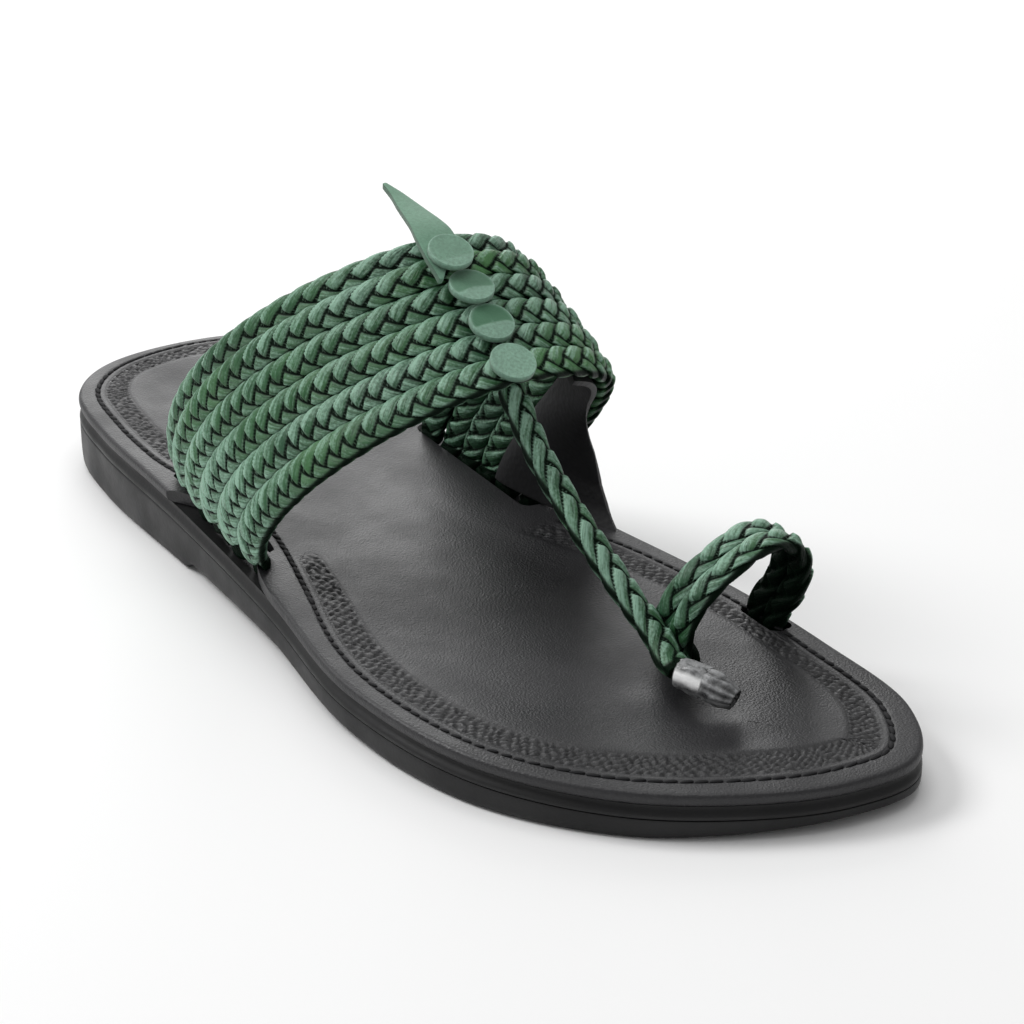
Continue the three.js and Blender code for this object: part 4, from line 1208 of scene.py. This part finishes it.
def knot_mesh():
    """The crumpled end of the wrap: pleats that gather to an opening over the footbed, with painted shade in
    the opening and in the pleats' hollows.
    """
    line = smooth_line(KNOT_PATH, 20, 46)
    share = np.linspace(0, 1, len(line))
    angle = np.linspace(0, 2 * math.pi, 72, endpoint=False)
    length, turn = np.meshgrid(share, angle, indexing="ij")
    twist = turn + 0.5 * length
    pleat = 0.20 * np.sin(10 * twist + 1.6 * value_noise(31, length * 3, twist * 1.2 + 8))
    dent = 0.22 * value_noise(32, length * 4 + 3, 3 + 3 * np.cos(twist), 3 + 3 * np.sin(twist))
    open_share = smoothstep(0.0, 0.18, length)
    reach = rounded_table(KNOT_RADII, share, 0.1)[:, None] + (pleat + dent) * open_share
    rings = round_rings(line, reach, angle)
    run = unit(line[-1] - line[-2])
    inner = []
    for part in (0.25, 0.6, 0.9, 1.0):
        shrink = (1 - 0.22 * part) * (0.9 if part < 0.95 else 0.45)
        inner.append(line[-1] + (rings[-1] - line[-1]) * shrink - run * KNOT_MOUTH_DEPTH * part)
    made = ring_skin("ferrule_bulb", np.concatenate([rings, np.array(inner)]), capped=True)
    # painted shade in the opening where the knot goes down, and in the hollows of its pleats
    wrap_shade = np.zeros((len(line) + len(inner), len(angle)))
    wrap_shade[len(line):] = 1
    wrap_shade[len(line) - 2: len(line)] = 0.5
    wrap_shade[: len(line)] += 0.7 * np.clip(-(pleat + dent) * 2.6, 0, 1) * open_share
    point_attribute(made, "band", np.zeros(wrap_shade.size))
    point_attribute(made, "wrap_shade", np.clip(wrap_shade, 0, 1))
    made.data.shade_smooth()
    return made


# ---- stage ----------------------------------------------------------------------------------
CAMERA_PLACE = (0.56946, -0.32729, 0.31276)
CAMERA_TURN = 58.41
CAMERA_FALL = 23.84
CAMERA_ROLL = -0.269
SENSOR_WIDTH = 36
CLIP_START = 0.01
FLOOR_SIZE = 12
SKY_STRENGTH = 0.41
LIGHTS = [
    # name, place, size, power, aimed at
    ("key_light", (-0.75, -0.75, 1.1), 0.6, 12.5, (0, 0, 0.03)),
    ("back_light", (-1.2, 0.5, 0.6), 0.8, 6.5, (0, 0, 0.03)),
    ("top_light", (-0.1, 0.1, 1.5), 1.0, 6, (0, 0, 0)),
]


def aim(made, place, target):
    made.location = place
    made.rotation_mode = "QUATERNION"
    made.rotation_quaternion = (Vector(target) - Vector(place)).to_track_quat("-Z", "Y")


def floor_material(settings):
    """Pale matt floor, very faintly clouded."""
    sheet = MaterialSheet("floor", roughness=0.9, specular_ior_level=0.1)
    cloud = sheet.noise(sheet.object_coords(), 3, 2)
    return sheet.join(base_color=sheet.mix(cloud, settings.floor, scaled(settings.floor, 1.01)))


# ---- operators ------------------------------------------------------------------------------
class SANDAL_OT_sole(bpy.types.Operator):
    """Model the outsole and the midsole with its groove"""

    bl_idname = "sandal.sole"
    bl_label = "Outsole and midsole"

    def execute(self, context):
        settings = context.scene.sandal.sole
        rubber = rubber_material(settings)
        outline = SoleOutline(SOLE_COLUMNS)
        outsole = plain_layer("outsole_rubber", outline, OUTSOLE_EDGE, underside, outsole_top)
        midsole = plain_layer("midsole_rubber", outline, MIDSOLE_EDGE, midsole_bottom, midsole_top)
        for made, node in ((outsole, "outsole"), (midsole, "midsole")):
            tidy_mesh(made)
            smooth_by_angle(made, 45)
            dress(made, rubber, "black_rubber", node)
        return {"FINISHED"}


class SANDAL_OT_footbed(bpy.types.Operator):
    """Model the footbed's leather with its stamped border, slots and stitching"""

    bl_idname = "sandal.footbed"
    bl_label = "Footbed"

    def execute(self, context):
        settings = context.scene.sandal.sole
        outline = SoleOutline(settings.columns)
        footbed = footbed_mesh(settings, outline)
        tidy_mesh(footbed)
        cut_slots(footbed)
        smooth_by_angle(footbed, 50)
        dress(footbed, footbed_material(settings), "black_leather", "footbed")
        stitching = stitching_mesh(settings, outline)
        stitching.data.shade_smooth()
        dress(stitching, thread_material(settings), "black_leather")
        return {"FINISHED"}


class SANDAL_OT_band(bpy.types.Operator):
    """Plait the six cords of the band"""

    bl_idname = "sandal.band"
    bl_label = "Band of cords"

    def execute(self, context):
        settings = context.scene.sandal.cords
        finish = bpy.data.materials.get("cord_dye") or cord_material(settings)
        for k, dye in enumerate(zip(BAND_FADE, BAND_WARM)):
            thick = settings.cord_thickness / MM - FIRST_CORD_THINNER * (k == 0)
            made = plait(
                f"band_cord_{k + 1}", settings, band_frames(k), thick, dye, BAND_SEED + BAND_SEED_STEP * k,
                BAND_OVERLAP[k], shade_end=FOOT_SHADE, foot_thin=FOOT_THIN)
            dress(made, finish, "green_cord", "upper")
        return {"FINISHED"}


class SANDAL_OT_straps(bpy.types.Operator):
    """Plait the T-strap and the two cords of the toe loop"""

    bl_idname = "sandal.straps"
    bl_label = "T-strap and toe loop"

    def execute(self, context):
        settings = context.scene.sandal.cords
        finish = bpy.data.materials.get("cord_dye") or cord_material(settings)
        frames = path_frames(T_STRAP_PATH, (0, 1, 0), T_STRAP_WIDTH, -1)
        strap = plait("t_strap", settings, frames, T_STRAP_THICK, T_STRAP_DYE, T_STRAP_SEED)
        dress(strap, finish, "green_cord", "upper")
        for number, offset in enumerate((-LOOP_CORD_PITCH / 2, LOOP_CORD_PITCH / 2), 1):
            frames = path_frames(loop_points(offset), (1, 0, 0), LOOP_CORD_WIDTH, 1)
            made = plait(
                f"toe_loop_cord_{number}", settings, frames, LOOP_CORD_THICK, LOOP_DYE,
                LOOP_SEED + LOOP_SEED_STEP * number, inner_shade=LOOP_INNER_SHADE)
            dress(made, finish, "green_cord", "upper")
        return {"FINISHED"}


class SANDAL_OT_discs(bpy.types.Operator):
    """Model the four leather discs and the horn on the crest"""

    bl_idname = "sandal.discs"
    bl_label = "Discs and horn"

    def execute(self, context):
        patch = patch_material(context.scene.sandal.trim)
        for name, row in DISCS.items():
            made = disc_mesh(f"{name}_leather", *row)
            dress(made, patch, "green_leather", name)
        horn = shaped_sheet("horn_leather", 64, 12, horn_shape, HORN_THICK)
        normals = np.array([v.normal for v in horn.data.vertices])
        point_attribute(horn, "nap_and_shade", np.full(len(normals), HORN_NAP))
        point_attribute(horn, "cut", np.where(np.abs(normals[:, 1]) > 0.55, 0.8, 0.0))
        dress(horn, patch, "green_leather", "horn")
        return {"FINISHED"}


class SANDAL_OT_ferrule(bpy.types.Operator):
    """Model the wrapped end of the T-strap and its knot"""

    bl_idname = "sandal.ferrule"
    bl_label = "Wrapped strap end"

    def execute(self, context):
        wrap = wrap_material(context.scene.sandal.trim)
        dress(ferrule_mesh(), wrap, "grey_wrap", "ferrule")
        dress(knot_mesh(), wrap, "grey_wrap", "ferrule_knot")
        return {"FINISHED"}


class SANDAL_OT_ears(bpy.types.Operator):
    """Model the leather flaps inside the front cord"""

    bl_idname = "sandal.ears"
    bl_label = "Ears"

    def execute(self, context):
        leather = ear_material(context.scene.sandal.trim)
        medial = shaped_sheet("ear_medial_leather", 40, 14, ear_medial_shape, EAR_THICK)
        lateral = shaped_sheet("ear_lateral_leather", 30, 8, ear_lateral_shape, EAR_THICK)
        for made, node in ((medial, "ear_medial"), (lateral, "ear_lateral")):
            normals = np.array([v.normal for v in made.data.vertices])
            point_attribute(made, "cut", np.where(np.abs(normals[:, 0]) > 0.75, 0.15, 0.0))
            dress(made, leather, "black_leather", node)
        return {"FINISHED"}


class SANDAL_OT_stage(bpy.types.Operator):
    """Lay the floor and set the soft lights and the camera"""

    bl_idname = "sandal.stage"
    bl_label = "Stage"

    def execute(self, context):
        settings = context.scene.sandal.stage
        bpy.ops.object.select_all(action="DESELECT")
        bpy.ops.mesh.primitive_plane_add(size=FLOOR_SIZE, location=(0, 0, 0))
        floor = context.object
        floor.name = "floor"
        floor.data.materials.append(floor_material(settings))
        for name, place, size, power, target in LIGHTS:
            light = bpy.data.lights.new(name, "AREA")
            light.size = size
            light.energy = power
            lamp = bpy.data.objects.new(name, light)
            context.scene.collection.objects.link(lamp)
            aim(lamp, place, target)
        world = bpy.data.worlds.new("studio")
        world.use_nodes = True
        sky = world.node_tree.nodes["Background"]
        sky.inputs["Color"].default_value = (1, 1, 1, 1)
        sky.inputs["Strength"].default_value = SKY_STRENGTH
        context.scene.world = world
        camera = bpy.data.objects.new("camera", bpy.data.cameras.new("camera"))
        context.scene.collection.objects.link(camera)
        camera.data.lens = settings.lens
        camera.data.sensor_width = SENSOR_WIDTH
        camera.data.clip_start = CLIP_START
        camera.location = CAMERA_PLACE
        turn = Matrix.Rotation(math.radians(CAMERA_TURN), 3, "Z")
        fall = Matrix.Rotation(math.radians(90 - CAMERA_FALL), 3, "X")
        roll = Matrix.Rotation(math.radians(CAMERA_ROLL), 3, "Z")
        camera.rotation_euler = (turn @ fall @ roll).to_euler()
        context.scene.camera = camera
        context.scene.view_settings.view_transform = "Standard"
        return {"FINISHED"}


class SANDAL_PT_sidebar(bpy.types.Panel):
    """Sizes, colours and steps of the sandal"""

    bl_label = "Kolhapuri Sandal"
    bl_idname = "SANDAL_PT_sidebar"
    bl_space_type = "VIEW_3D"
    bl_region_type = "UI"
    bl_category = "Sandal"

    def draw(self, context):
        for group in (context.scene.sandal.sole, context.scene.sandal.cords,
                      context.scene.sandal.trim, context.scene.sandal.stage):
            box = self.layout.box()
            for key in group.bl_rna.properties.keys():
                if key not in ("rna_type", "name"):
                    box.prop(group, key)
        for step in STEPS:
            self.layout.operator(step.bl_idname)


GROUPS = (SandalSoleSettings, SandalCordSettings, SandalTrimSettings, SandalStageSettings, SandalSettings)
STEPS = (SANDAL_OT_stage, SANDAL_OT_sole, SANDAL_OT_footbed, SANDAL_OT_band, SANDAL_OT_straps,
         SANDAL_OT_discs, SANDAL_OT_ferrule, SANDAL_OT_ears)
CLASSES = (*GROUPS, *STEPS, SANDAL_PT_sidebar)


def register():
    for one in CLASSES:
        bpy.utils.register_class(one)
    bpy.types.Scene.sandal = PointerProperty(type=SandalSettings)


def unregister():
    del bpy.types.Scene.sandal
    for one in reversed(CLASSES):
        bpy.utils.unregister_class(one)


def main():
    register()
    for step in STEPS:
        group, name = step.bl_idname.split(".")
        getattr(getattr(bpy.ops, group), name)()


if __name__ == "__main__":
    main()
